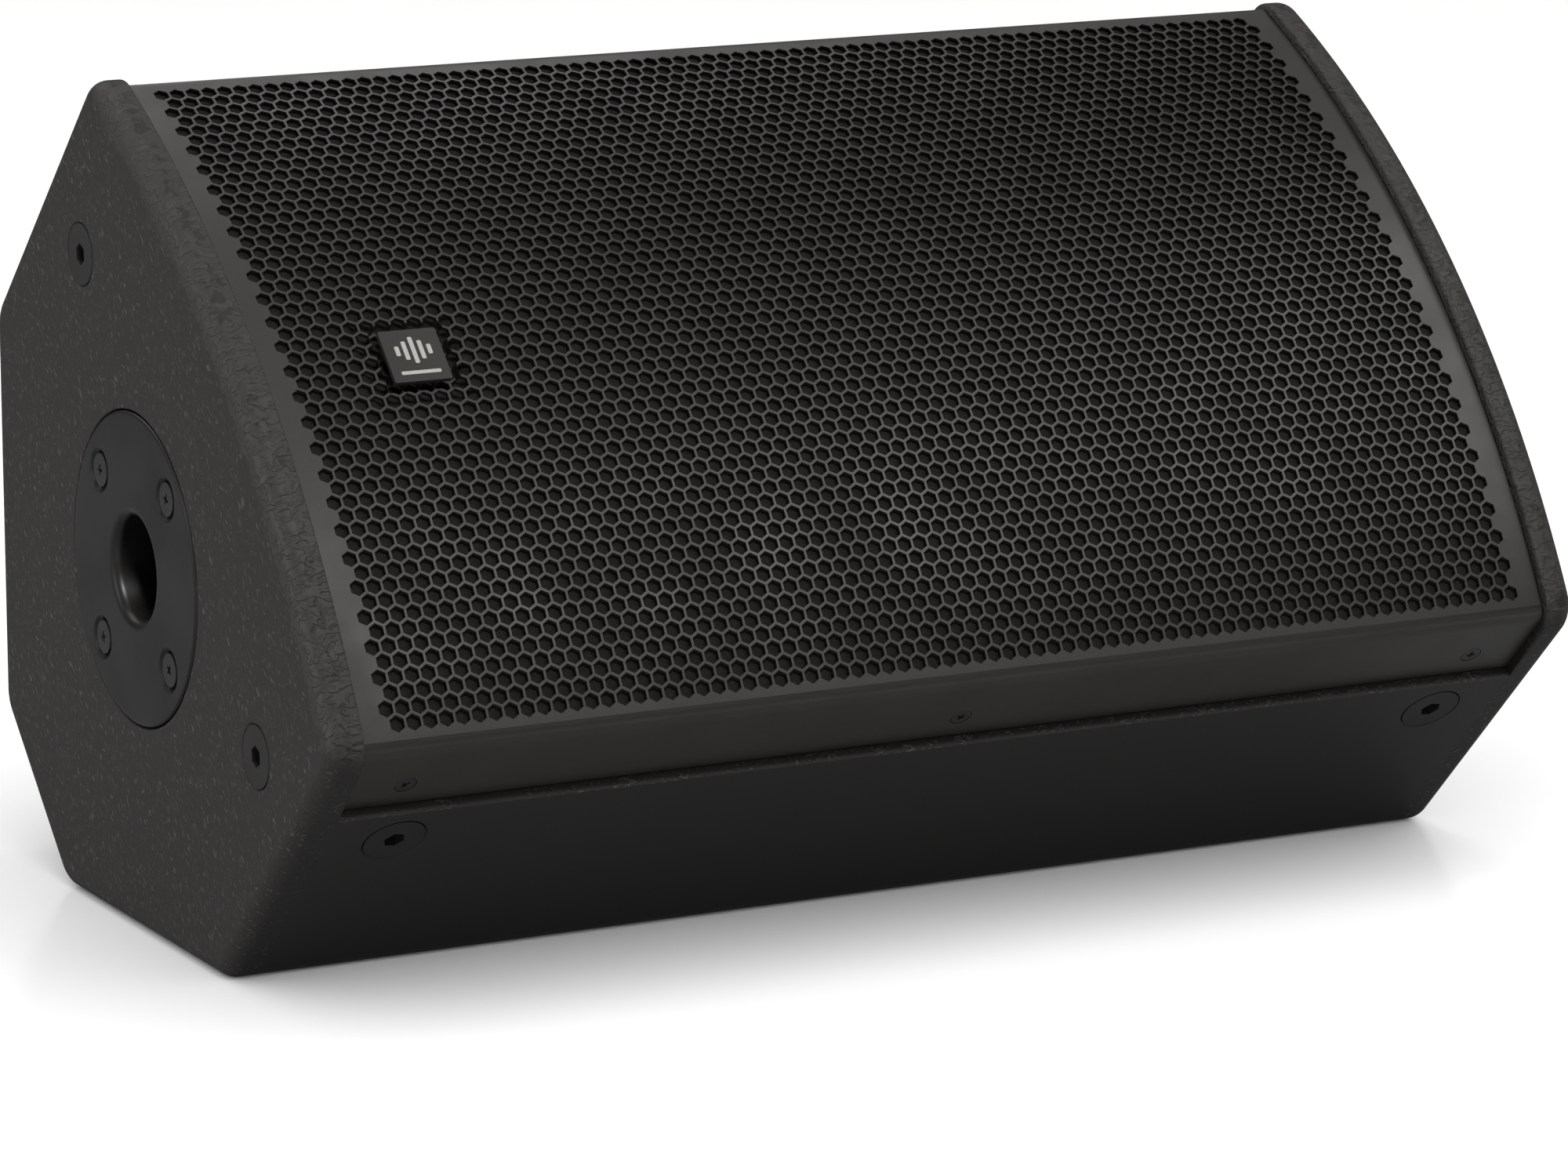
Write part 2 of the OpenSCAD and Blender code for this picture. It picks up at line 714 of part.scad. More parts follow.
module woofer_bolts() {
    color(bolt_black) tilted() for (p = woofer_bolt_places)
        translate([p[0], p[1], baffle_z + frame_flange]) rotate([180, 0, 0])
            pan_screw(9, 3, woofer_bolt_d, 34);
}

// ---- horn and compression driver

horn_flange = 5;
horn_screw_d = 4;
horn_screw_hole = horn_screw_d + 0.4;
throat_z = -86;
throat_d = 26;
horn_screw_places = [for (sx = [-1, 1], sy = [-1, 1])
    [horn_x + sx * (horn_size / 2 - 7), sy * (horn_size / 2 - 7)]];

module horn_bell(mouth_w, mouth_h, throat, top, bottom) {
    hull() {
        translate([0, 0, top - 0.1]) linear_extrude(0.1) square([mouth_w, mouth_h], center = true);
        translate([0, 0, bottom]) cylinder(h = 0.1, d = throat, $fn = 32);
    }
}
module horn_flare() {
    mouth = horn_cut - 12;
    skin = 4;
    color("#1c1c1e") tilted() translate([horn_x, 0, baffle_z]) difference() {
        union() {
            translate([-horn_size / 2, -horn_size / 2, 0.2]) cube([horn_size, horn_size, horn_flange]);
            horn_bell(mouth + 2 * skin, mouth * 0.8 + 2 * skin, throat_d + 2 * skin, 1, throat_z);
        }
        horn_bell(mouth, mouth * 0.8, throat_d, horn_flange + 1, throat_z - 0.5);
        for (sx = [-1, 1], sy = [-1, 1])
            translate([sx * (horn_size / 2 - 7), sy * (horn_size / 2 - 7), -1])
                cylinder(h = horn_flange + 2, d = horn_screw_hole);
    }
}
module horn_screws() {
    color(bolt_black) tilted() for (p = horn_screw_places)
        translate([p[0], p[1], baffle_z + horn_flange + 0.2]) rotate([180, 0, 0])
            pan_screw(8, 2.6, horn_screw_d, 26);
}
driver_d = 92;
module compression_driver() {
    color("#48484b") tilted() translate([horn_x, 0, baffle_z + throat_z]) difference() {
        union() {
            translate([0, 0, -6.1]) cylinder(h = 6, d = 70);
            translate([0, 0, -30]) cylinder(h = 24, d = driver_d, $fn = 96);
        }
        translate([0, 0, -14]) cylinder(h = 15, d = throat_d);
    }
}
module driver_cover() {
    color(bolt_black) tilted() translate([horn_x, 0, baffle_z + throat_z - 30.1])
        mirror([0, 0, 1]) difference() {
            cylinder(h = 14, d1 = driver_d - 14, d2 = driver_d - 24);
            translate([0, 0, -1]) cylinder(h = 12, d1 = driver_d - 19, d2 = driver_d - 29);
        }
}
module reflex_ports() {
    depth = 88;
    color("#1c1c1e") tilted() for (y = [-port_y, port_y])
        translate([port_x, y, baffle_z]) difference() {
            union() {
                translate([0, 0, -depth]) cylinder(h = depth + 2, d = port_d);
                cylinder(h = 2, d = port_d + 6);
            }
            translate([0, 0, -depth - 1]) cylinder(h = depth + 6, d = port_d - 4);
        }
}

// ---- connector plate in the back, with its dish and sockets

plate_t_rear = 2;
plate_screws = [for (sx = [-1, 1], sy = [-1, 1])
    [plate_x + sx * (plate_length / 2 - 5.5), sy * (plate_width / 2 - 5.5)]];
socket_places = [for (side = [-1, 1]) plate_x + side * socket_spacing / 2];
plate_screw_head = 6.6;
plate_screw_shank = 3.5;
socket_body_d = 30;
socket_depth = 18;

module connector_plate() {
    color(bolt_black) tilted() difference() {
        translate([plate_x - plate_length / 2, -plate_width / 2, back_z])
            cube([plate_length, plate_width, plate_t_rear]);
        for (x = socket_places) into_back(x, 0) translate([0, 0, -1])
            cylinder(h = plate_t_rear + 2, d = socket_body_d + 0.2);
        for (p = plate_screws) into_back(p[0], p[1]) countersink(plate_screw_head, plate_screw_shank, plate_t_rear);
    }
}
module connector_sockets() {
    color("#202a38") tilted() for (x = socket_places) into_back(x, 0) difference() {
        cylinder(h = socket_depth + 3, d = socket_body_d);
        translate([0, 0, -1]) cylinder(h = socket_depth + 1, d = socket_bore);
    }
}
module connector_screws() {
    color(bolt_black) tilted() for (p = plate_screws) into_back(p[0], p[1])
        countersunk_screw(plate_screw_head, plate_screw_shank, 9);
}
module connector_dish() {
    color(bolt_black) tilted() difference() {
        translate([plate_x - dish_length / 2, -dish_width / 2, back_z + plate_t_rear + 0.1])
            cube([dish_length, dish_width, dish_depth]);
        translate([plate_x - dish_length / 2 + 2, -dish_width / 2 + 2, back_z])
            cube([dish_length - 4, dish_width - 4, plate_t_rear + dish_depth - 2]);
    }
}

// ---- crossover on the inside of the back panel

board_x = 132;
board_length = 130;
board_width = 64;
board_t = 1.6;
standoff_h = 10;
board_z = back_z + wall + standoff_h;
board_corners = [for (sx = [-1, 1], sy = [-1, 1])
    [board_x + sx * (board_length / 2 - 6), sy * (board_width / 2 - 6)]];
board_top = board_z + board_t;

module crossover_board() {
    color(board_green) tilted() difference() {
        translate([board_x - board_length / 2, -board_width / 2, board_z])
            cube([board_length, board_width, board_t]);
        for (p = board_corners) translate([p[0], p[1], board_z - 1]) cylinder(h = 4, d = 3.4);
    }
}
module board_standoffs() {
    color(zinc) tilted() for (p = board_corners) translate([p[0], p[1], board_z - standoff_h]) {
        cylinder(h = standoff_h, d = 7);
        cylinder(h = standoff_h + board_t, d = 3.2);
        translate([0, 0, standoff_h + board_t]) cylinder(h = 2, d = 6);
    }
}
module crossover_inductors() {
    coils = [[-40, 6, 19, 16], [2, 8, 16, 20]];
    color(copper) tilted() for (c = coils)
        translate([board_x + c[0], c[1], board_top]) difference() {
            cylinder(h = c[3], r = c[2]);
            translate([0, 0, -1]) cylinder(h = c[3] + 2, r = c[2] * 0.45);
        }
}
module crossover_capacitors() {
    cans = [[26, -20], [26, 0], [26, 18]];
    color("#c8b04a") tilted() for (c = cans)
        translate([board_x + c[0], c[1], board_top + 7.1]) rotate([0, 90, 0]) cylinder(h = 28, d = 14);
}
module crossover_resistors() {
    color("#e4e2dc") tilted() for (i = [0:2])
        translate([board_x - 52 + 26 * i, -28, board_top]) cube([22, 8, 8]);
}

// leads from the connectors to the board, and from the board to both drivers
lead_r = 1.4;
lead_routes = [
    [[-35, 26, -238], [-10, 34, -236], [40, 34, -238], [66, 26, -243]],
    [[120, -38, -245], [90, -52, -225], [30, -62, -190], [-12, -60, -160], [-28, -52, -100]],
    [[200, 26, -243], [214, 36, -220], [212, 38, -180], [196, 30, -150]]];
module lead(route) {
    for (i = [0:len(route) - 2]) hull() {
        translate(route[i]) sphere(r = lead_r, $fn = 8);
        translate(route[i + 1]) sphere(r = lead_r, $fn = 8);
    }
}
module speaker_leads() {
    color("#7a1f1f") tilted() for (route = lead_routes) lead(route);
}

// pads of felt on the insides of both 45 degree panels
module damping_wadding() {
    pad = 20;
    color("#d8d6cf") tilted() for (flip = [0, 1]) mirror([0, flip, 0]) rotate([45, 0, 0])
        translate([-200, -145, -(facet_reach - wall - 0.1)]) cube([160, 100, pad]);
}

left_end_panel();
right_end_panel();
upper_side_panel();
lower_front_panel();
rear_panel();
base_panel();
back_panel();
front_baffle();
corner_battens();
grille();
grille_foam();
grille_screws();
badge_plate();
badge_spindle();
badge_bush();
badge_washer();
pole_cup();
pole_cup_screws();
rigging_plugs();
rigging_plates();
woofer_frame();
woofer_gasket();
woofer_surround();
woofer_cone();
woofer_dust_cap();
woofer_voice_coil();
woofer_spider();
woofer_top_plate();
woofer_magnet();
woofer_pole_piece();
woofer_bolts();
horn_flare();
horn_screws();
compression_driver();
driver_cover();
reflex_ports();
connector_plate();
connector_sockets();
connector_screws();
connector_dish();
crossover_board();
board_standoffs();
crossover_inductors();
crossover_capacitors();
crossover_resistors();
speaker_leads();
damping_wadding();
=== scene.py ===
import math

import bmesh
import bpy
import numpy as np
from mathutils import Matrix, Vector, noise
from mathutils.geometry import delaunay_2d_cdt


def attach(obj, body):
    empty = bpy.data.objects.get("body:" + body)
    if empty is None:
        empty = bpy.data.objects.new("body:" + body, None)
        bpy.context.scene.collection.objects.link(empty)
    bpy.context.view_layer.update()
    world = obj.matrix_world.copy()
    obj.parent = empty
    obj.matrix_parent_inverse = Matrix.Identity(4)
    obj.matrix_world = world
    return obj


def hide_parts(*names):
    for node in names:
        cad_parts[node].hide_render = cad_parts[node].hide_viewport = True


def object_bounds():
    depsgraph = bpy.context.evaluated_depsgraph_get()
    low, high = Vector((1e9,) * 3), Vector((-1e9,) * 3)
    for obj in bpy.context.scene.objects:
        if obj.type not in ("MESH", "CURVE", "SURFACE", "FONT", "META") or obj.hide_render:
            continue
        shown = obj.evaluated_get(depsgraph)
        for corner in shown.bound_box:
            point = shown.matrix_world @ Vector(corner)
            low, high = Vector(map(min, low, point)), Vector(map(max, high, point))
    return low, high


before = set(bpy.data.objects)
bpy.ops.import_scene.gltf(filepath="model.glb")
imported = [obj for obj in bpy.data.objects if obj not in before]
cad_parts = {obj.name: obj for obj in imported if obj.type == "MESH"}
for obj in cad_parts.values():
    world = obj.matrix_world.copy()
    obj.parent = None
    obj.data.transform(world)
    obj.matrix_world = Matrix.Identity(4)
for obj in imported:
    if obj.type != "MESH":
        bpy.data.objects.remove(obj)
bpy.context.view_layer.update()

# ---- the CAD model's driving dimensions, in millimetres, in the cabinet frame:
# x along the length, y up across the front, z out through the grille, origin on its crown
LENGTH = 512
FRONT = 300
DEPTH = 274.5
BACK = 83
END_T = 13
WALL = 12
CORNER_R = 16
EDGE_R = 7
GRILLE_R = 444
SHEET = 1.5
RAIL = 3.4
FLANGE = 36
BEND_R = 6
RAIL_R = 14
FOAM_T = 5
BAFFLE_Z = -34
BADGE = 22.4
BADGE_X = -184.2
BADGE_Y = -1.7
BADGE_Z = 0.25
BADGE_T = 1.8
DISH = 28
DISH_DEPTH = 2.6
DISH_X = -183.4
DISH_Y = -0.8
POLE_BORE = 36
POLE_DEPTH = 80
CUP_D = 115.8
POLE_Z = -123
CUP_PCD = 88.6
CUP_WALL = 3.5
CUP_FLANGE = 4
CUP_PROUD = 0.5
CUP_LIP = 3.6
CUP_LEAD = 1.4
CUP_HEAD = 12.6
CUP_POCKET = 16.4
RIG_HEAD = 23.6
RIG_SHANK = 10
RIG_HEX = 7
RIG_Y = 110
RIG_Z = -79
RIG_X = 216
SCREW_X = 220.5
SCREW_Z = -47.5
SCREW_HEAD = 8
SCREW_SHANK = 4
PLATE_L = 150
PLATE_W = 58
PLATE_T = 2
PLATE_X = -60
PLATE_HEAD = 6.6
PLATE_SHANK = 3.5
SOCKET_GAP = 50
SOCKET_D = 30
SOCKET_BORE = 25
SOCKET_DEPTH = 18
PITCH = 6.2
HOLE = 5.0

GRILLE_GAP = 0.6        # between the grille and each end panel
FLANGE_DROP = 0.16      # from the crown to the flange, as a share of half the grille's width
LIP_GAP = 1             # between the flange's edge and the lip of its rebate
CUP_GAP = 1.2           # how much wider the recess is than the pole socket's flange
COUNTERSINK_GAP = 0.15  # round each countersunk head
RECESS_CLEAR = 0.1      # under the pole socket's flange

HALF = LENGTH / 2
HALF_FRONT = FRONT / 2
BACK_Z = -DEPTH
REACH = (BACK / 2 + DEPTH) / math.sqrt(2)
INNER_X = HALF - END_T
GRILLE_X = INNER_X - GRILLE_GAP
FLANGE_Y = HALF_FRONT - RAIL
LIP_Z = -FLANGE_Y * FLANGE_DROP - FLANGE - LIP_GAP


def corner_centres(inset, rail_r, body_r):
    """Centres of the front, side and back corner arcs of the outline moved in by inset."""
    half = HALF_FRONT - inset
    front = GRILLE_R + RAIL - inset
    reach = REACH - inset
    rail_z = -GRILLE_R + math.sqrt((front - rail_r) ** 2 - (half - rail_r) ** 2)
    side = (half - body_r, half - body_r - (reach - body_r) * math.sqrt(2))
    back_z = BACK_Z + inset + body_r
    back = (back_z + (reach - body_r) * math.sqrt(2), back_z)
    return (half - rail_r, rail_z), side, back


front_c, side_c, back_c = corner_centres(0, RAIL_R, CORNER_R)
front_reach = (front_c[0] + front_c[1]) / math.sqrt(2) + RAIL_R
SHIFT = Vector((0, -(REACH - front_reach) / 2, REACH))
TILT = Matrix.Translation(SHIFT) @ Matrix.Rotation(math.radians(45), 4, "X")
MM = 0.001
TO_WORLD = np.array(Matrix.Scale(MM, 4) @ TILT)
NEAR = 1e-6


# ---- camera: place in metres, lens in millimetres, angles in degrees

CAMERA_AT = (-1.12401, -2.12967, 0.62688)
CAMERA_BEARING = -27.836
CAMERA_DIP = 12.06
CAMERA_ROLL = 0.059
CAMERA_LENS = 149.1
SENSOR = 36

scene = bpy.context.scene
camera = bpy.data.objects.new("camera", bpy.data.cameras.new("camera"))
scene.collection.objects.link(camera)
camera.data.sensor_width = SENSOR
camera.data.lens = CAMERA_LENS
camera.data.clip_end = 100
camera.matrix_world = (
    Matrix.Translation(CAMERA_AT)
    @ Matrix.Rotation(math.radians(CAMERA_BEARING), 4, "Z")
    @ Matrix.Rotation(math.radians(90 - CAMERA_DIP), 4, "X")
    @ Matrix.Rotation(math.radians(CAMERA_ROLL), 4, "Z"))
scene.camera = camera


# ---- mesh building; a shape is (points, faces) in millimetres

def arc(centre, r, start, stop, steps):
    angles = np.radians(np.linspace(start, stop, steps + 1))
    return [(centre[0] + r * math.cos(a), centre[1] + r * math.sin(a)) for a in angles]


def placed(shape, matrix):
    points, faces = shape
    m = np.array(matrix)
    return np.asarray(points, float) @ m[:3, :3].T + m[:3, 3], faces


def joined(shapes):
    points, faces, count = [], [], 0
    for p, f in shapes:
        points.append(np.asarray(p, float))
        faces += [[i + count for i in face] for face in f]
        count += len(p)
    return np.vstack(points), faces


def loft(rings):
    """A closed solid through rings of equally many points."""
    n = len(rings[0])
    faces = [list(range(n))[::-1], [n * (len(rings) - 1) + i for i in range(n)]]
    for r in range(len(rings) - 1):
        for i in range(n):
            a, b = r * n + i, r * n + (i + 1) % n
            faces.append([a, b, b + n, a + n])
    return [p for ring in rings for p in ring], faces


def prism(profile, start, stop):
    """A profile in the y-z plane drawn out along x."""
    return loft([[(x, y, z) for y, z in profile] for x in (start, stop)])


def lathe(profile, steps=64):
    """A closed profile of (radius, z) turned about z. It may touch the axis at its ends."""
    rings, points, faces = [], [], []
    for r, z in profile:
        if r < NEAR:
            rings.append([len(points)] * steps)
            points.append((0, 0, z))
        else:
            rings.append([len(points) + i for i in range(steps)])
            for a in np.linspace(0, 2 * math.pi, steps, endpoint=False):
                points.append((r * math.cos(a), r * math.sin(a), z))
    on_axis = profile[0][0] < NEAR and profile[-1][0] < NEAR
    for k in range(len(rings) - (1 if on_axis else 0)):
        one, two = rings[k], rings[(k + 1) % len(rings)]
        for i in range(steps):
            j = (i + 1) % steps
            face = [one[i], one[j], two[j], two[i]]
            face = [v for n, v in enumerate(face) if v not in face[:n]]
            if len(face) > 2:
                faces.append(face)
    return points, faces


def box(low, high):
    corners = ((low[0], low[1]), (high[0], low[1]), (high[0], high[1]), (low[0], high[1]))
    return loft([[(x, y, z) for x, y in corners] for z in (low[2], high[2])])


def rounded_square(size_x, size_y, r, z, steps=6):
    points = []
    for sx, sy, start in ((1, 1, 0), (-1, 1, 90), (-1, -1, 180), (1, -1, 270)):
        centre = (sx * (size_x / 2 - r), sy * (size_y / 2 - r))
        points += [(x, y, z) for x, y in arc(centre, r, start, start + 90, steps)]
    return points


def slab(size_x, size_y, r, thick, edge):
    """A plate on z = 0 with rounded corners and an eased top edge."""
    rings = [rounded_square(size_x, size_y, r, 0)]
    for a in np.radians((0, 30, 60, 90)):
        inset = edge * (1 - math.cos(a))
        rings.append(rounded_square(size_x - 2 * inset, size_y - 2 * inset,
                                    max(r - inset, 0.05), thick - edge + edge * math.sin(a)))
    return loft(rings)


def to_object(shape, name="temporary", world=False):
    points, faces = shape
    if world:
        points = placed(shape, TO_WORLD)[0]
    mesh = bpy.data.meshes.new(name)
    mesh.from_pydata(np.asarray(points, float).tolist(), [], faces)
    made = bmesh.new()
    made.from_mesh(mesh)
    bmesh.ops.remove_doubles(made, verts=made.verts, dist=NEAR)
    bmesh.ops.recalc_face_normals(made, faces=made.faces)
    made.to_mesh(mesh)
    made.free()
    obj = bpy.data.objects.new(name, mesh)
    scene.collection.objects.link(obj)
    return obj


def carved(shape, cutters):
    """The shape with each cutter taken away."""
    target = to_object(shape)
    tools = [to_object(c) for c in cutters]
    for tool in tools:
        cut = target.modifiers.new("cut", "BOOLEAN")
        cut.object = tool
        cut.solver = "EXACT"
    bpy.context.view_layer.update()
    result = target.evaluated_get(bpy.context.evaluated_depsgraph_get()).to_mesh()
    points = np.array([v.co for v in result.vertices])
    faces = [list(p.vertices) for p in result.polygons]
    for obj in [target, *tools]:
        data = obj.data
        bpy.data.objects.remove(obj)
        bpy.data.meshes.remove(data)
    return points, faces


def piece(name, shape, slot, body="cabinet", nodes=(), smooth=35, finish=None):
    """A finished piece of the visual model, made from a shape in the cabinet frame."""
    obj = to_object(shape, name, world=True)
    mesh = obj.data
    mesh.polygons.foreach_set("use_smooth", [smooth > 0] * len(mesh.polygons))
    if smooth:
        mesh.set_sharp_from_angle(angle=math.radians(smooth))
        normals = obj.modifiers.new("normals", "WEIGHTED_NORMAL")
        normals.keep_sharp = True
        normals.weight = 90
    mesh.materials.append(MATERIALS[finish or slot])
    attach(obj, body)
    if nodes:
        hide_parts(*nodes)
    return obj


# placements: z points in through a face of the cabinet
def turn(axis, degrees):
    return Matrix.Rotation(math.radians(degrees), 4, axis)


def into_left_end(y, z, depth=0):
    return Matrix.Translation((-HALF + depth, y, z)) @ turn("Y", 90)


def into_right_end(y, z):
    return Matrix.Translation((HALF, y, z)) @ turn("Y", -90)


def into_lower_side(x, z, face=HALF_FRONT):
    return Matrix.Translation((x, -face, z)) @ turn("X", -90)


def into_upper_side(x, z, face=HALF_FRONT):
    return Matrix.Translation((x, face, z)) @ turn("X", 90)


def into_back(x, y):
    return Matrix.Translation((x, y, BACK_Z))


# ---- materials

class Tree:
    """A material with a few short ways to add nodes."""

    def __init__(self, name, rough=0.5, metal=0.0, specular=0.5):
        self.material = bpy.data.materials.new(name)
        self.material.use_nodes = True
        self.nodes = self.material.node_tree.nodes
        self.links = self.material.node_tree.links
        self.bsdf = self.nodes["Principled BSDF"]
        self.set(self.bsdf, {"Roughness": rough, "Metallic": metal,
                             "Specular IOR Level": specular})

    def set(self, node, values):
        for key, value in values.items():
            if isinstance(value, bpy.types.NodeSocket):
                self.links.new(value, node.inputs[key])
            else:
                node.inputs[key].default_value = value

    def add(self, kind, values=None, **properties):
        node = self.nodes.new("ShaderNode" + kind)
        for key, value in properties.items():
            setattr(node, key, value)
        self.set(node, values or {})
        return node.outputs

    def space(self, scale=(1, 1, 1), lean=0):
        """Coordinates in the cabinet frame, in metres, turned back by 45 degrees."""
        where = self.add("TexCoord")["Object"]
        flat = self.add("Mapping", {"Vector": where, "Location": TILT.inverted().translation * MM,
                                    "Rotation": (math.radians(-45 + lean), 0, 0)})["Vector"]
        return self.add("Mapping", {"Vector": flat, "Scale": scale})["Vector"]

    def noise(self, where, scale, detail=3.0, rough=0.55, distort=0.0):
        return self.add("TexNoise", {"Vector": where, "Scale": scale, "Detail": detail,
                                     "Roughness": rough, "Distortion": distort})[0]

    def remap(self, value, low, high, to_low=0.0, to_high=1.0, smooth=True):
        return self.add("MapRange", {0: value, 1: low, 2: high, 3: to_low, 4: to_high},
                        interpolation_type="SMOOTHSTEP" if smooth else "LINEAR")[0]

    def math(self, how, a, b=0.0):
        return self.add("Math", {0: a, 1: b}, operation=how)[0]

    def mix(self, factor, one, two):
        return self.add("Mix", {0: factor, 6: one, 7: two}, data_type="RGBA")[2]

    def bump(self, height, distance, strength=1.0, normal=None):
        values = {"Height": height, "Distance": distance, "Strength": strength}
        if normal is not None:
            values["Normal"] = normal
        return self.add("Bump", values)[0]

    def finish(self, **values):
        names = {"colour": "Base Color", "rough": "Roughness", "normal": "Normal"}
        self.set(self.bsdf, {names[k]: v for k, v in values.items()})
        return self.material


def shade(colour, strength=1.0):
    """A colour made lighter or darker, as a socket takes it."""
    return tuple(c * strength for c in colour) + (1,)


def rgb(value, tint=(1, 1, 1)):
    """A grey, or a tint of it, as a colour."""
    return shade(tint, value)


WARM = (1.05, 1.0, 0.94)


def structured_coat(name, base=0.034):
    """Black sprayed coat: short raised flecks on the ends, painted lighter as glints; wrinkles
    round the rails under a painted highlight and painted shade.
    """
    t = Tree(name, specular=0.3)
    even = t.space()
    drop = t.noise(t.space((1, 0.45, 1), lean=-4), 660, 2.0, 0.5, 0.6)
    thin = t.noise(t.space((1, 0.25, 1), lean=-7), 900, 2.0, 0.5, 0.3)
    fleck = t.math("MAXIMUM", t.remap(drop, 0.575, 0.67),
                   t.math("MULTIPLY", t.remap(thin, 0.60, 0.70), 0.3))
    apart = t.add("SeparateXYZ", {0: even})
    across = t.math("ABSOLUTE", apart[0])
    ragged = t.math("SUBTRACT", t.noise(even, 150, 4.0, 0.6, 0.8), 0.5)
    # the rail: from just inside its rounded edge, measured from the grille's axis
    axis = t.add("CombineXYZ", {0: 0.0, 1: apart[1], 2: t.math("ADD", apart[2], GRILLE_R * MM)})
    radius = t.add("VectorMath", {0: axis[0]}, operation="LENGTH")[1]
    radius = t.math("ADD", radius, t.math("MULTIPLY", ragged, 0.012))
    crown = t.remap(radius, (GRILLE_R + RAIL - EDGE_R - 3.2) * MM,
                    (GRILLE_R + RAIL - EDGE_R - 2.2) * MM)
    rail = t.math("MAXIMUM", t.remap(across, (HALF - 0.4) * MM, (HALF - 1.3) * MM), crown)
    # it fades out down the sides
    rail = t.math("MULTIPLY", rail, t.remap(apart[2], -0.029, -0.021))
    # the rail is painted lighter as a highlight, with a ragged painted shade line where its rounded
    # edge starts
    away = t.math("ABSOLUTE", t.math("SUBTRACT", across, (HALF - EDGE_R) * MM))
    away = t.math("ADD", away, t.math("MULTIPLY", ragged, 0.03))
    patch = t.remap(away, -0.0008, 0.0012)
    fold = t.remap(t.noise(t.space((0.6, 1, 1)), 250, 2.0, 0.45, 1.4), 0.44, 0.62)
    fleck = t.math("MULTIPLY", fleck, t.math("SUBTRACT", 1.0, rail))
    # the flecks are painted lighter, a painted glint on each raised fleck
    tone = t.mix(fleck, rgb(base, WARM), rgb(base * 2.9, WARM))
    wear_and_sheen = t.mix(patch, rgb(base * 0.9, WARM), rgb(base * 1.6, WARM))
    # the folds of the wrinkles are painted lighter still, as a painted highlight
    wear_and_sheen = t.mix(t.math("MULTIPLY", fold, 0.5), wear_and_sheen, rgb(base * 2.1, WARM))
    tone = t.mix(rail, tone, wear_and_sheen)
    grain = t.noise(even, 2600, 2.0)
    tone = t.mix(t.remap(grain, 0.35, 0.65, 0.0, 0.22), tone, rgb(base * 0.6))
    normal = t.bump(fleck, 0.0006, 0.8)
    normal = t.bump(t.math("MULTIPLY", fold, rail), 0.0008, 0.7, normal)
    normal = t.bump(grain, 0.00005, 0.4, normal)
    return t.finish(colour=tone, rough=t.remap(fleck, 0, 1, 0.55, 0.42), normal=normal)


def lipped_coat(name, base=0.031):
    """Smooth coat on the panels between the ends, wrinkled where it wraps over the lip; the lip is
    painted lighter as painted light, its wrinkles as painted highlights.
    """
    t = Tree(name, rough=0.5, specular=0.3)
    even = t.space()
    fine = t.noise(even, 2200, 4.0, 0.6)
    broad = t.noise(even, 28, 3.0)
    apart = t.add("SeparateXYZ", {0: even})
    near = t.math("ABSOLUTE", t.math("SUBTRACT", apart[2], (LIP_Z - 0.4) * MM))
    wide = t.math("ABSOLUTE", apart[1])
    lip = t.math("MULTIPLY", t.remap(near, 0.0012, 0.0008),
                 t.remap(wide, (FLANGE_Y - 0.5) * MM, FLANGE_Y * MM))
    worm = t.remap(t.noise(t.space((0.7, 1, 1)), 420, 3.0, 0.5, 2.0), 0.55, 0.62)
    worm = t.math("MULTIPLY", worm, t.remap(t.noise(even, 60, 2.0), 0.36, 0.52))
    tone = t.mix(t.remap(fine, 0.3, 0.7), rgb(base * 0.86, WARM), rgb(base * 1.14, WARM))
    tone = t.mix(t.remap(broad, 0.4, 0.75, 0.0, 0.3), tone, rgb(base * 0.86, WARM))
    # painted light: the lip is painted lighter than the coat, its wrinkles lighter still as painted
    # highlights
    tone = t.mix(lip, tone, t.mix(worm, rgb(base * 1.8, WARM), rgb(base * 5, WARM)))
    normal = t.bump(t.math("MULTIPLY", worm, lip), 0.0006, 0.8)
    return t.finish(colour=tone, normal=t.bump(fine, 0.00003, 0.7, normal))


def grained(name, colour, rough=0.5, metal=0.0, specular=0.5, size=900, depth=0.00004,
            vary=0.25, along=1):
    """A fine moulded, sprayed or brushed surface; along below 1 stretches its grain along x."""
    t = Tree(name, metal=metal, specular=specular)
    fine = t.noise(t.space((along, 1, 1)), size, 4.0, 0.6)
    broad = t.noise(t.space(), 28, 3.0)
    dark = shade(colour, 1 - vary)
    tone = t.mix(t.remap(fine, 0.3, 0.7), dark, shade(colour, 1 + vary))
    tone = t.mix(t.remap(broad, 0.4, 0.75, 0.0, 0.3), tone, dark)
    wear_and_sheen = t.remap(broad, 0.3, 0.7, rough * 0.9, rough * 1.15)
    return t.finish(colour=tone, rough=wear_and_sheen, normal=t.bump(fine, depth, 0.7))


def open_foam(name):
    """Open-cell foam: a mesh of small dark cells."""
    t = Tree(name, rough=0.95, specular=0.08)
    where = t.space()
    cell = t.add("TexVoronoi", {"Vector": where, "Scale": 1600.0}, feature="DISTANCE_TO_EDGE")[0]
    wall = t.remap(cell, 0.0, 0.35, 1.0, 0.0)
    tone = t.mix(wall, rgb(0.022, WARM), rgb(0.032, WARM))
    tone = t.mix(t.remap(t.noise(where, 320, 3.0), 0.3, 0.7, 0.0, 0.4), tone, rgb(0.018))
    return t.finish(colour=tone, normal=t.bump(wall, 0.0002, 0.7))


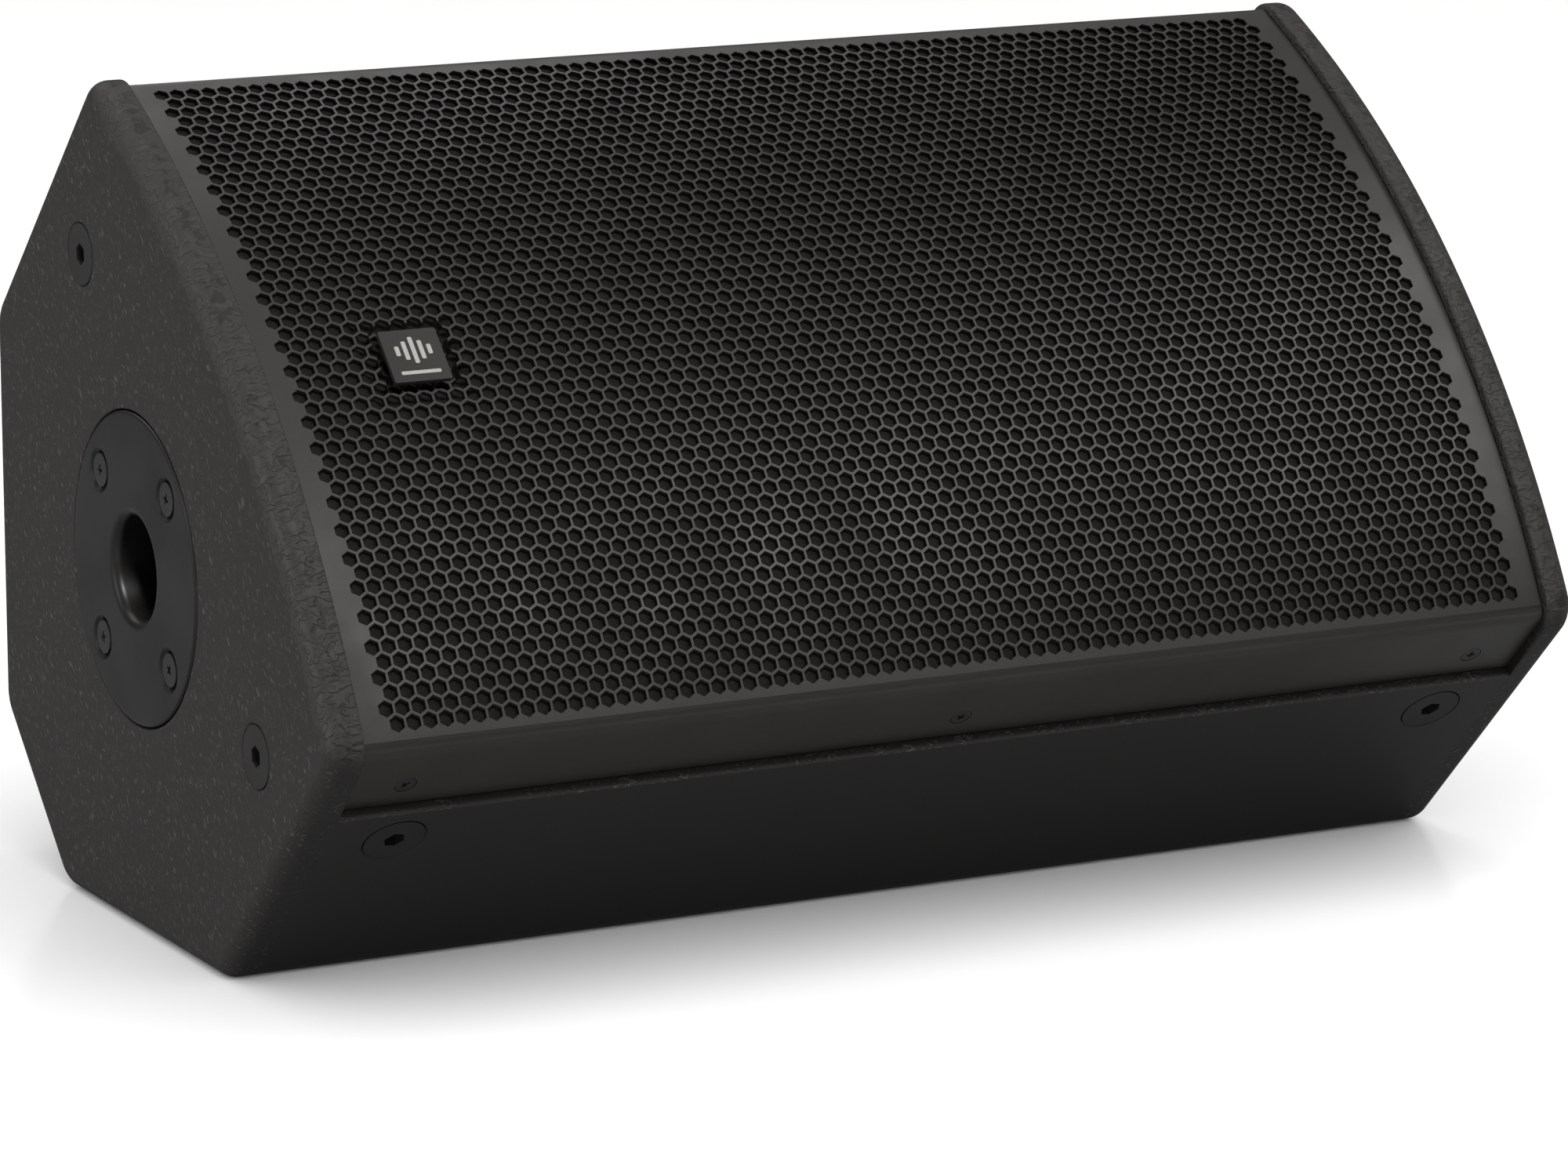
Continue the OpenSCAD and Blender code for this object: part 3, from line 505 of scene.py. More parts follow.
def plywood(name, base):
    """Bare plywood: long grain with darker knots."""
    t = Tree(name, rough=0.7, specular=0.3)
    grain = t.noise(t.space((0.06, 1, 1)), 420, 5.0, 0.65, 0.4)
    knots = t.noise(t.space((0.2, 1, 1)), 60, 2.0, 0.5, 1.0)
    dark = shade(base, 0.55)
    tone = t.mix(t.remap(grain, 0.35, 0.7), shade(base), dark)
    tone = t.mix(t.remap(knots, 0.55, 0.8, 0.0, 0.6), tone, dark)
    return t.finish(colour=tone, normal=t.bump(grain, 0.0002, 0.6))


def woven(name, colour):
    """Cloth: two crossed sets of threads."""
    t = Tree(name, rough=0.85, specular=0.2)
    where = t.space()
    ways = [t.add("TexWave", {"Vector": where, "Scale": 1100, "Distortion": 0.6},
                  bands_direction=axis)[1] for axis in "XY"]
    weave = t.math("MAXIMUM", ways[0], ways[1])
    tone = t.mix(weave, shade(colour, 0.5), shade(colour))
    tone = t.mix(t.remap(t.noise(where, 200), 0.3, 0.8, 0.0, 0.5), tone, shade(colour, 0.7))
    return t.finish(colour=tone, normal=t.bump(weave, 0.0003, 0.8))


def felt(name, colour):
    """Pressed fibres that lie both ways."""
    t = Tree(name, rough=0.95, specular=0.1)
    hairs = t.noise(t.space((1, 0.15, 1)), 900, 5.0, 0.7, 2.0)
    crossed = t.noise(t.space((0.15, 1, 1)), 800, 5.0, 0.7, 2.0)
    fuzz = t.math("MAXIMUM", hairs, crossed)
    tone = t.mix(t.remap(fuzz, 0.4, 0.7), shade(colour, 0.6), shade(colour))
    return t.finish(colour=tone, normal=t.bump(fuzz, 0.0006, 0.8))


def winding(name, colour):
    """Enamelled wire, wound in close turns."""
    t = Tree(name, rough=0.3, metal=0.9)
    turns = t.add("TexWave", {"Vector": t.space(), "Scale": 380.0, "Distortion": 0.1},
                  bands_direction="Z")[1]
    tone = t.mix(turns, shade(colour, 0.35), shade(colour))
    return t.finish(colour=tone, normal=t.bump(turns, 0.0004, 0.9))


MATERIALS = {
    "textured_coat": structured_coat("textured_coat"),
    "smooth_coat": lipped_coat("smooth_coat"),
    "painted_bolt": grained("painted_bolt", (0.030, 0.029, 0.0275), 0.5, 0.0, 0.3, 1500, 0.00003,
                            vary=0.2),
    "birch_ply": plywood("birch_ply", (0.09, 0.07, 0.05)),
    "grille_steel": grained("grille_steel", (0.034, 0.0315, 0.0275), 0.4, 0.0, 0.5, 2400, 0.00002,
                            vary=0.2),
    "acoustic_foam": open_foam("acoustic_foam"),
    "black_steel": grained("black_steel", (0.020, 0.020, 0.020), 0.42, 0.0, 0.5, 1800, 0.00003),
    "badge_plastic": grained("badge_plastic", (0.037, 0.036, 0.034), 0.45, 0.0, 0.4, 3000,
                             0.00002, vary=0.15),
    "badge_mark": grained("badge_mark", (0.60, 0.59, 0.56), 0.45, 0.0, 0.4, 1500, 0.00002,
                          vary=0.08),
    "bright_steel": grained("bright_steel", (0.5, 0.5, 0.52), 0.3, 1.0, along=0.05),
    "bush_plastic": grained("bush_plastic", (0.03, 0.03, 0.03), 0.6),
    "satin_black_metal": grained("satin_black_metal", (0.0112, 0.0104, 0.0095), 0.38, 0.0, 0.4,
                                 2600, 0.00003, vary=0.3),
    "zinc_steel": grained("zinc_steel", (0.5, 0.51, 0.52), 0.4, 1.0, size=500, vary=0.15),
    "frame_metal": grained("frame_metal", (0.03, 0.03, 0.03), 0.5, 0.3),
    "surround_rubber": grained("surround_rubber", (0.02, 0.02, 0.02), 0.65, specular=0.35),
    "cone_paper": felt("cone_paper", (0.035, 0.035, 0.038)),
    "copper_wire": winding("copper_wire", (0.75, 0.33, 0.16)),
    "spider_cloth": woven("spider_cloth", (0.45, 0.32, 0.12)),
    "ferrite": grained("ferrite", (0.06, 0.06, 0.065), 0.7, size=1200, depth=0.0001),
    "horn_plastic": grained("horn_plastic", (0.02, 0.02, 0.021), 0.55, size=1500),
    "socket_plastic": grained("socket_plastic", (0.02, 0.022, 0.028), 0.45, size=2000),
    "circuit_board": grained("circuit_board", (0.03, 0.12, 0.06), 0.4, size=300, vary=0.35),
    "capacitor_film": grained("capacitor_film", (0.55, 0.45, 0.1), 0.3, size=200, along=0.1),
    "ceramic_white": grained("ceramic_white", (0.72, 0.71, 0.67), 0.7, size=900, depth=0.0001,
                             vary=0.08),
    "lead_red": grained("lead_red", (0.35, 0.03, 0.03), 0.4, size=700, vary=0.15),
    "wadding": felt("wadding", (0.65, 0.64, 0.6)),
}


# ---- cabinet shell

def outline(inset=0.0, rail_r=RAIL_R, body_r=CORNER_R, stations=(), steps=10, front_steps=80):
    """The cabinet's outline in the y-z plane, moved in by inset."""
    front, side, back = corner_centres(inset, rail_r, body_r)
    lean = math.degrees(math.atan2(front[1] + GRILLE_R, front[0]))
    half = arc(back, body_r, -90, -45, steps) + arc(side, body_r, -45, 0, steps)
    half += [(HALF_FRONT - inset, z) for z in stations]
    half += arc(front, rail_r, 0, lean, steps)
    crown = arc((0, -GRILLE_R), GRILLE_R + RAIL - inset, lean, 180 - lean, front_steps)[1:-1]
    return half + crown + [(-y, z) for y, z in reversed(half)]


def countersink(head, shank, depth, ease=0.35):
    """A cutter for a countersunk hole, with its mouth at z = 0 eased."""
    slope, gap = (head - shank) / 2, COUNTERSINK_GAP
    return lathe([(0, -2), (head / 2 + gap + ease, -2), (head / 2 + gap + ease, -0.02),
                  (head / 2 + gap, ease), (shank / 2 + gap, slope + ease),
                  (shank / 2 + gap, depth), (0, depth)])


def end_panel(sign):
    """A routed end panel: its outer edge is rounded, its rail's inner edge just eased."""
    ease = 1.3
    stations = (LIP_Z - 1.5, LIP_Z - 0.2)

    def loop(inset):
        return outline(inset, RAIL_R - inset, CORNER_R - inset, stations)

    # a ring on the flat outer face, then the rounded edge, then the eased one
    rings = [[(0.0, y, z) for y, z in loop(EDGE_R + 0.8)]]
    for a in np.linspace(math.pi / 2, 0, 10):
        inset = EDGE_R * (1 - math.cos(a))
        rings.append([(EDGE_R * (1 - math.sin(a)), y, z) for y, z in loop(inset)])
    plain = loop(0)
    for b in np.linspace(0, math.pi / 2, 5):
        eased = loop(ease * (1 - math.cos(b)))
        x = END_T - ease + ease * math.sin(b)
        rings.append([(x, *(e if p[1] > LIP_Z else p)) for p, e in zip(plain, eased)])
    points, faces = loft(rings)
    return [(sign * (HALF - x), y, z) for x, y, z in points], faces


lip_r = 1.2
wall_r = CORNER_R - WALL
side_profile = (
    arc(side_c, CORNER_R, -22.5, 0, 6)
    + arc((HALF_FRONT - lip_r, LIP_Z - lip_r), lip_r, 0, 90, 5)
    + [(FLANGE_Y - SHEET - 0.1, LIP_Z), (FLANGE_Y - SHEET - 0.1, BAFFLE_Z),
       (HALF_FRONT - WALL, BAFFLE_Z)]
    + arc(side_c, wall_r, 0, -22.5, 4))
chamfer_profile = (
    arc(back_c, CORNER_R, -67.5, -45, 6) + arc(side_c, CORNER_R, -45, -22.5, 6)
    + arc(side_c, wall_r, -22.5, -45, 4) + arc(back_c, wall_r, -45, -67.5, 4))
mirror_c = (-back_c[0], back_c[1])
back_profile = (
    arc(mirror_c, CORNER_R, -112.5, -90, 6) + arc(back_c, CORNER_R, -90, -67.5, 6)
    + arc(back_c, wall_r, -67.5, -90, 4) + arc(mirror_c, wall_r, -90, -112.5, 4))


def flipped(profile):
    return [(-y, z) for y, z in reversed(profile)]


plug_hole = countersink(RIG_HEAD, RIG_SHANK, END_T + 2)
cup_hole_d = POLE_BORE + 2 * CUP_WALL + 3
cup_seat_r = (CUP_D + CUP_GAP) / 2
cup_seat_z = CUP_FLANGE + RECESS_CLEAR
cup_recess = lathe([(0, -2), (cup_seat_r + 0.4, -2), (cup_seat_r + 0.4, -0.02),
                    (cup_seat_r, 0.4), (cup_seat_r, cup_seat_z), (cup_hole_d / 2, cup_seat_z),
                    (cup_hole_d / 2, END_T + 2), (0, END_T + 2)], 128)
end_plugs = [(y, RIG_Z) for y in (-RIG_Y, RIG_Y)]
cup_bolt_hole = lathe([(0, 0), (3.2, 0), (3.2, END_T + 1), (0, END_T + 1)], 24)
cup_turns = [turn("Z", 90 * i) @ Matrix.Translation((CUP_PCD / 2, 0, 0)) for i in range(4)]

left_cuts = [placed(cup_recess, into_left_end(0, POLE_Z))]
left_cuts += [placed(plug_hole, into_left_end(*p)) for p in end_plugs]
left_cuts += [placed(cup_bolt_hole, into_left_end(0, POLE_Z, 1) @ m) for m in cup_turns]
piece("left_end_coated", carved(end_panel(-1), left_cuts), "textured_coat",
      nodes=["left_end_panel"])
right_cuts = [placed(plug_hole, into_right_end(*p)) for p in end_plugs]
piece("right_end_coated", carved(end_panel(1), right_cuts), "textured_coat",
      nodes=["right_end_panel"])

flange_screw_hole = countersink(SCREW_HEAD, SCREW_SHANK, 20, ease=0.2)
for name, node, profile, into in (
        ("upper_side_coated", "upper_side_panel", side_profile, into_upper_side),
        ("lower_side_coated", "lower_front_panel", flipped(side_profile), into_lower_side)):
    cuts = [placed(plug_hole, into(x, RIG_Z)) for x in (-RIG_X, RIG_X)]
    cuts += [placed(flange_screw_hole, into(x, SCREW_Z, FLANGE_Y))
             for x in (-SCREW_X, 0, SCREW_X)]
    piece(name, carved(prism(profile, -INNER_X, INNER_X), cuts), "textured_coat", nodes=[node],
          finish="smooth_coat")
piece("rear_facet_coated", prism(chamfer_profile, -INNER_X, INNER_X), "textured_coat",
      nodes=["rear_panel"], finish="smooth_coat")
piece("base_facet_coated", prism(flipped(chamfer_profile), -INNER_X, INNER_X), "textured_coat",
      nodes=["base_panel"], finish="smooth_coat")

plate_screws = [(PLATE_X + sx * (PLATE_L / 2 - 5.5), sy * (PLATE_W / 2 - 5.5))
                for sx in (-1, 1) for sy in (-1, 1)]
recess_l, recess_w = PLATE_L + 1, PLATE_W + 1
plate_recess = loft([rounded_square(recess_l + 1, recess_w + 1, 4.5, -1),
                     rounded_square(recess_l + 1, recess_w + 1, 4.5, -0.02),
                     rounded_square(recess_l, recess_w, 4, 0.5),
                     rounded_square(recess_l, recess_w, 4, PLATE_T)])
plate_opening = loft([rounded_square(PLATE_L - 21, PLATE_W - 11, 2, z) for z in (1, WALL + 1)])
back_cuts = [placed(cut, into_back(PLATE_X, 0)) for cut in (plate_recess, plate_opening)]
pilot = lathe([(0, 0), (1.85, 0), (1.85, WALL - 1), (0, WALL - 1)], 20)
back_cuts += [placed(pilot, into_back(*p)) for p in plate_screws]
piece("back_coated", carved(prism(back_profile, -INNER_X, INNER_X), back_cuts), "textured_coat",
      nodes=["back_panel"], finish="smooth_coat")


# ---- grille: a hexagon-perforated sheet, bent down both sides

bend_centre = corner_centres(RAIL, BEND_R, CORNER_R)[0]
bend_lean = math.atan2(bend_centre[1] + GRILLE_R, bend_centre[0])
bend_start = bend_centre[0] + BEND_R * math.cos(bend_lean)
bend_length = BEND_R * bend_lean
sheet_end = bend_start + bend_length + bend_centre[1] - (LIP_Z + 1)
ROW = PITCH * math.sqrt(3) / 2
ROWS = 52
COLUMNS = 75
PATTERN_X = -0.66       # the pattern's place, off the middle
FIRST_X = (-37.25 * PITCH + PATTERN_X, -36.75 * PITCH + PATTERN_X)
EASE = 0.16
MOUTH = HOLE + 2 * EASE


def sheet_point(s, depth):
    """(y, z) on the grille, s along its section from the crown, depth below its outer face."""
    side, s = (1 if s >= 0 else -1), abs(s)
    if s <= bend_start - 1.5:
        return side * s, -GRILLE_R + math.sqrt((GRILLE_R - depth) ** 2 - s * s)
    if s <= bend_start:
        a = math.acos(s / GRILLE_R)
        return (side * (GRILLE_R - depth) * math.cos(a),
                -GRILLE_R + (GRILLE_R - depth) * math.sin(a))
    if s <= bend_start + bend_length:
        a = bend_lean - (s - bend_start) / BEND_R
        r = BEND_R - depth
        return side * (bend_centre[0] + r * math.cos(a)), bend_centre[1] + r * math.sin(a)
    return side * (FLANGE_Y - depth), bend_centre[1] - (s - bend_start - bend_length)


def hexagon(centre, flats):
    r = flats / math.sqrt(3)
    return [(centre[0] + r * math.sin(math.pi / 3 * k), centre[1] + r * math.cos(math.pi / 3 * k))
            for k in range(6)]


def in_box(p, limits):
    return limits[0] < p[0] < limits[1] and limits[2] < p[1] < limits[3]


def hole_centre(row, column):
    return FIRST_X[row % 2] + column * PITCH, ((ROWS - 1) / 2 - row) * ROW


def hole_near(p):
    """The centre of the hole whose cell holds the point p, or None off the pattern."""
    near = int(round((ROWS - 1) / 2 - p[1] / ROW))
    centres = []
    for row in range(max(near - 1, 0), min(near + 2, ROWS)):
        column = int(round((p[0] - FIRST_X[row % 2]) / PITCH))
        centres.append(hole_centre(row, min(max(column, 0), COLUMNS - 1)))
    return min(centres, key=lambda centre: math.dist(p, centre), default=None)


def in_hexagon(p, centre, flats):
    x, y = abs(p[0] - centre[0]), abs(p[1] - centre[1])
    return x < flats / 2 and x / 2 + y * math.sqrt(3) / 2 < flats / 2


# the solid patch in the dish's floor, behind the badge, that carries its bush
PATCH = 17
patch = (BADGE_X - PATCH / 2, BADGE_X + PATCH / 2, BADGE_Y - PATCH / 2, BADGE_Y + PATCH / 2)
DISH_WALL = 1.3


def dish_drop(x, y):
    """How far the sheet is pressed back at a point, in the badge's dish."""
    inside = (DISH + DISH_WALL) / 2 - max(abs(x - DISH_X), abs(y - DISH_Y))
    part = min(max(inside / DISH_WALL, 0.0), 1.0)
    return DISH_DEPTH * part * part * (3 - 2 * part)


screw_s = bend_start + bend_length + bend_centre[1] - SCREW_Z
screw_spots = [(x, side * screw_s) for x in (-SCREW_X, 0, SCREW_X) for side in (-1, 1)]
screw_hole_r = SCREW_HEAD / 2 + COUNTERSINK_GAP


def sheet_solid(points, faces, front, back, ease=None):
    """A closed solid from a flat mesh: front and back place its two faces."""
    used = sorted({i for f in faces for i in f})
    index = {v: n for n, v in enumerate(used)}
    top = [[index[i] for i in f] for f in faces]
    flat = [points[i] for i in used]
    n = len(flat)
    # a dictionary keeps the sides in order
    sides = {side: True for f in top for side in zip(f, f[1:] + f[:1])}
    rim = [(a, b) for a, b in sides if (b, a) not in sides]
    on_rim = sorted({i for e in rim for i in e})
    low = {v: 2 * n + k for k, v in enumerate(on_rim)}
    eased = [ease(p) if ease and i in low else p for i, p in enumerate(flat)]
    made = [front(*p, 0) for p in flat] + [back(*p) for p in eased]
    made += [front(*eased[i], EASE) for i in on_rim]
    faces = top + [[n + i for i in reversed(f)] for f in top]
    for a, b in rim:
        faces.append([b, a, low[a], low[b]])
        faces.append([low[b], low[a], n + a, n + b])
    return made, faces


def perforated_sheet():
    """The flat sheet as (points, triangles), x along it and s across, with its holes left out."""
    points, edges = [], []

    def loop(ring, closed=True):
        first = len(points)
        points.extend(ring)
        edges.extend((first + i, first + (i + 1) % len(ring))
                     for i in range(len(ring) if closed else len(ring) - 1))

    for row in range(ROWS):
        for column in range(COLUMNS):
            loop(hexagon(hole_centre(row, column), MOUTH))
    squares = [(DISH_X, DISH_Y, DISH + DISH_WALL * k) for k in (1, 0.5, 0, -0.5, -1)]
    for x, y, size in squares + [(BADGE_X, BADGE_Y, PATCH)]:
        loop([(x + sx * size / 2, y + sy * size / 2)
              for sx, sy in ((-1, -1), (1, -1), (1, 1), (-1, 1))])
    for x, s in screw_spots:
        loop(arc((x, s), screw_hole_r + 0.1, 0, 345, 23))
    across = np.linspace(-GRILLE_X, GRILLE_X, 81)
    field = (ROWS - 1) / 2 * ROW + HOLE
    bends = [bend_start - 1.6] + list(np.linspace(bend_start, bend_start + bend_length, 7))
    for s in bends:
        for side in (-1, 1):
            loop([(x, side * s) for x in across], closed=False)
    down = list(np.linspace(-field, field, 2 * ROWS)) + bends + [-s for s in bends]
    down = sorted(down + [-sheet_end, sheet_end])
    loop([(-GRILLE_X, s) for s in reversed(down)] + [(x, -sheet_end) for x in across[1:-1]]
         + [(GRILLE_X, s) for s in down] + [(x, sheet_end) for x in across[-2:0:-1]])
    found = delaunay_2d_cdt([Vector(p) for p in points], edges, [], 1, 1e-5)
    flat = [tuple(p) for p in found[0]]
    kept = []
    for face in found[2]:
        for k in range(1, len(face) - 1):
            tri = [face[0], face[k], face[k + 1]]
            c = tuple(sum(flat[i][axis] for i in tri) / 3 for axis in (0, 1))
            hole = hole_near(c) if abs(c[1]) < field else None
            in_hole = hole and in_hexagon(c, hole, MOUTH)
            in_screw_hole = any(math.dist(c, spot) < screw_hole_r for spot in screw_spots)
            if in_box(c, patch) or not (in_hole or in_screw_hole):
                kept.append(tri)
    return flat, kept


def eased_point(p):
    """Walls of the holes stand a little inside the eased edge of the outer face."""
    hole = hole_near(p) if abs(p[1]) < bend_start else None
    if hole and in_hexagon(p, hole, MOUTH + 0.02):
        k = HOLE / MOUTH
        return tuple(hole[i] + (p[i] - hole[i]) * k for i in (0, 1))
    return p


def on_sheet(x, s, depth=0.0):
    return (x, *sheet_point(s, depth + dish_drop(x, s)))


grille = piece("perforated_grille",
               sheet_solid(*perforated_sheet(), on_sheet, lambda x, s: on_sheet(x, s, SHEET),
                           eased_point),
               "grille_steel", nodes=["grille"], smooth=0)


def foam_sheet():
    """Foam close behind the grille, its skin slightly uneven and pressed in by the badge's dish."""
    # it reaches under the last row of holes
    half_x, half_y = INNER_X - 6, HALF_FRONT - WALL + 4
    pressed = DISH / 2 + SHEET + 0.4
    top = GRILLE_R - SHEET - 0.25
    bump_size, bump_depth = 9, 0.35

    def lines(half, count, dish, badge):
        """Even grid lines, with the nearest ones moved onto the edges of the dish and the patch."""
        grid = np.linspace(-half, half, count + 1)
        for edge in (dish - pressed, dish + pressed, badge - PATCH / 2, badge + PATCH / 2):
            grid[np.abs(grid - edge).argmin()] = edge
        return grid

    nx, ny = 118, 72
    grid = [(x, y) for x in lines(half_x, nx, DISH_X, BADGE_X)
            for y in lines(half_y, ny, DISH_Y, BADGE_Y)]
    faces = []
    for i in range(nx):
        for j in range(ny):
            a = i * (ny + 1) + j
            quad = [a, a + ny + 1, a + ny + 2, a + 1]
            middle = [sum(grid[k][n] for k in quad) / 4 for n in (0, 1)]
            if not in_box(middle, patch):
                faces.append(quad)

    def skin(x, y, drop):
        dent = bump_depth * (1 + noise.noise(Vector((x / bump_size, y / bump_size, 4.2)))) + drop
        if max(abs(x - DISH_X), abs(y - DISH_Y)) < pressed + 0.01:
            dent += DISH_DEPTH + 0.1
        return x, y, -GRILLE_R + math.sqrt((top - dent) ** 2 - y * y)

    def under(x, y):
        return x, y, -GRILLE_R + math.sqrt((top - FOAM_T + 0.3) ** 2 - y * y)

    return sheet_solid(grid, faces, skin, under)


foam = piece("foam_behind_grille", foam_sheet(), "acoustic_foam", nodes=["grille_foam"])


# ---- screws and plugs

def cross_recess(size, depth):
    """A cutter for a cross recess, its arms narrowing downwards."""
    bars = []
    for way in (0, 90):
        rings = [rounded_square(2 * size, size * 0.5, size * 0.12, z, 2) for z in (-1, 0)]
        rings.append(rounded_square(size * 0.9, size * 0.26, size * 0.08, depth, 2))
        bars.append(placed(loft(rings), turn("Z", way)))
    return bars


def countersunk(head, shank, length, ease=0.25):
    """The profile of a flat-headed screw, its face at z = 0 and its shank towards +z."""
    slope = (head - shank) / 2
    r = head / 2
    return [(0, 0), (r - ease, 0), (r - ease * 0.3, ease * 0.3), (r, ease), (r - 0.1, ease + 0.3),
            (shank / 2, slope + 0.3), (shank / 2, length - 1), (shank / 2 - 0.8, length),
            (0, length)]


def hex_recess(flats):
    """A cutter for a hexagon recess, its mouth a little worn."""
    r = flats / math.sqrt(3)
    corners = np.radians([60 * i + 12 for i in range(6)])
    return loft([[(r * k * math.cos(a), r * k * math.sin(a), z) for a in corners]
                 for k, z in ((1.04, -1), (1.04, 0.0), (1.0, 0.4), (0.96, 5.2))])


plug = carved(lathe(countersunk(RIG_HEAD - 0.6, RIG_SHANK, 24), 72), [hex_recess(RIG_HEX)])
plug_places = [into(y, z) for into in (into_left_end, into_right_end) for y, z in end_plugs]
plug_places += [into(x, RIG_Z) for into in (into_lower_side, into_upper_side)
                for x in (-RIG_X, RIG_X)]
piece("painted_plugs", joined([placed(plug, m) for m in plug_places]), "painted_bolt",
      nodes=["rigging_plugs"])

cup_screw = carved(lathe(countersunk(CUP_HEAD, 6, 22, 0.35), 48), cross_recess(2.2, 2.2))
cup_screw_places = [into_left_end(0, POLE_Z, 0.3 - CUP_PROUD) @ m @ turn("Z", 31 + 17 * i)
                    for i, m in enumerate(cup_turns)]
piece("socket_screws", joined([placed(cup_screw, m) for m in cup_screw_places]), "black_steel",
      nodes=["pole_cup_screws"])

flange_screw = carved(lathe(countersunk(SCREW_HEAD, SCREW_SHANK, 8.2), 40), cross_recess(1.9, 1.5))
flange_places = [into(x, SCREW_Z, FLANGE_Y) @ turn("Z", 20 + 0.3 * x)
                 for into in (into_lower_side, into_upper_side)
                 for x in (-SCREW_X, 0, SCREW_X)]
piece("flange_screws", joined([placed(flange_screw, m) for m in flange_places]), "black_steel",
      nodes=["grille_screws"])


# ---- pole socket

def pole_socket():
    """The socket's flange and cup, its bore opening towards z = 0 through a rolled lip."""
    r_in, r_out, rim = POLE_BORE / 2, POLE_BORE / 2 + CUP_WALL, CUP_D / 2
    bottom = POLE_DEPTH + CUP_WALL
    seat = CUP_FLANGE + CUP_PROUD
    ease = 1.2
    profile = [(0, bottom), (0, POLE_DEPTH), (r_in - 1, POLE_DEPTH),
               (r_in, POLE_DEPTH - 1), (r_in, 14), (r_in + CUP_LEAD * 0.8, 8)]
    profile += [(r_in + CUP_LEAD + CUP_LIP * (1 - math.cos(a)), CUP_LIP * (1 - math.sin(a)))
                for a in np.linspace(0, math.pi / 2, 10)]
    profile += [(r_in + CUP_LEAD + CUP_LIP + 1.5, 0), (rim - ease - 1, 0)]
    profile += [(rim - ease * (1 - math.sin(a)), ease * (1 - math.cos(a)))
                for a in np.linspace(0, math.pi / 2, 6)]
    profile += [(rim, seat), (r_out, seat), (r_out, bottom - 1), (r_out - 1, bottom)]
    pocket, head, shank = CUP_POCKET / 2, CUP_HEAD / 2, 3.4
    cutter = lathe([(0, -1), (pocket + 0.35, -1), (pocket + 0.35, -0.01), (pocket, 0.2),
                    (head + 0.5, 1.5), (head + 0.4, 2.0), (shank, 2.0 + head - 3.1),
                    (shank, CUP_FLANGE + 2), (0, CUP_FLANGE + 2)], 48)
    return carved(lathe(profile, 144), [placed(cutter, m) for m in cup_turns])


cup = piece("pole_socket_cup", placed(pole_socket(), into_left_end(0, POLE_Z, -CUP_PROUD)),
            "satin_black_metal", nodes=["pole_cup"])


# ---- badge: a square plate with plain light bars

badge_at = Matrix.Translation((BADGE_X, BADGE_Y, BADGE_Z))
piece("badge_face", placed(slab(BADGE, BADGE, 0.9, BADGE_T, 0.3), badge_at), "badge_plastic",
      body="badge", nodes=["badge_plate"])
bar_spacing = 3.1
bars = [slab(1.7, h, 0.5, 0.16, 0.1) for h in (4.2, 8.0, 11.4, 8.0, 4.2)]
bars = [placed(b, Matrix.Translation((bar_spacing * (i - 2), 2.1, 0))) for i, b in enumerate(bars)]
bars.append(placed(slab(15.4, 1.5, 0.5, 0.16, 0.1), Matrix.Translation((0, -7.4, 0))))
piece("badge_bars", placed(joined(bars), badge_at @ Matrix.Translation((0, 0, BADGE_T - 0.03))),
      "badge_plastic", body="badge", finish="badge_mark")


# ---- connector plate

def connector_panel():
    """The recessed plate, with a hole for each connector and screw."""
    plate = loft([rounded_square(PLATE_L, PLATE_W, 4, z) for z in (PLATE_T, 0.6)]
                 + [rounded_square(PLATE_L - 0.8, PLATE_W - 0.8, 3.6, 0.08),
                    rounded_square(PLATE_L - 1.4, PLATE_W - 1.4, 3.4, 0)])
    hole = lathe([(0, -1), (SOCKET_D / 2 + 0.1, -1), (SOCKET_D / 2 + 0.1, 4), (0, 4)], 72)
    cuts = [placed(hole, Matrix.Translation((side * SOCKET_GAP / 2, 0, 0))) for side in (-1, 1)]
    screw = countersink(PLATE_HEAD, PLATE_SHANK, 4, ease=0.15)
    cuts += [placed(screw, Matrix.Translation((x - PLATE_X, y, 0))) for x, y in plate_screws]
    return carved(plate, cuts)


piece("connector_panel", placed(connector_panel(), into_back(PLATE_X, 0)), "black_steel",
      nodes=["connector_plate"])


def socket_shell():
    """A round panel connector: a deep bore in a flanged body."""
    r, bore, deep = SOCKET_D / 2, SOCKET_BORE / 2, SOCKET_DEPTH
    profile = [(0, deep), (bore, deep), (bore, 0.8), (bore + 0.3, 0.2), (bore + 0.9, 0.0),
               (r - 0.6, 0), (r - 0.1, 0.3), (r, 0.9), (r, deep + 3), (0, deep + 3)]
    body = lathe(profile, 72)
    # two keyways in the wall of the bore
    key = box((bore - 1.5, -1.6, -1), (bore + 1.0, 1.6, 14))
    return carved(body, [placed(key, turn("Z", a)) for a in (90, 270)])


socket_shape = socket_shell()
socket_places = [into_back(PLATE_X + side * SOCKET_GAP / 2, 0) for side in (-1, 1)]
piece("connector_bodies", joined([placed(socket_shape, m) for m in socket_places]),
      "socket_plastic", nodes=["connector_sockets"])
contact = box((-1.5, -0.4, SOCKET_DEPTH - 0.6), (1.5, 0.4, SOCKET_DEPTH + 0.2))
piece("connector_contacts",
      joined([placed(contact, m @ turn("Z", 45 + 90 * k) @ Matrix.Translation((7, 0, 0)))
              for m in socket_places for k in range(4)]), "bright_steel")
plate_screw = carved(lathe(countersunk(PLATE_HEAD, PLATE_SHANK, 9), 36), cross_recess(1.6, 1.4))
piece("connector_plate_screws",
      joined([placed(plate_screw, into_back(*p) @ turn("Z", 25 * i))
              for i, p in enumerate(plate_screws)]), "black_steel", nodes=["connector_screws"])


# ---- felt pads on the insides of the 45 degree panels

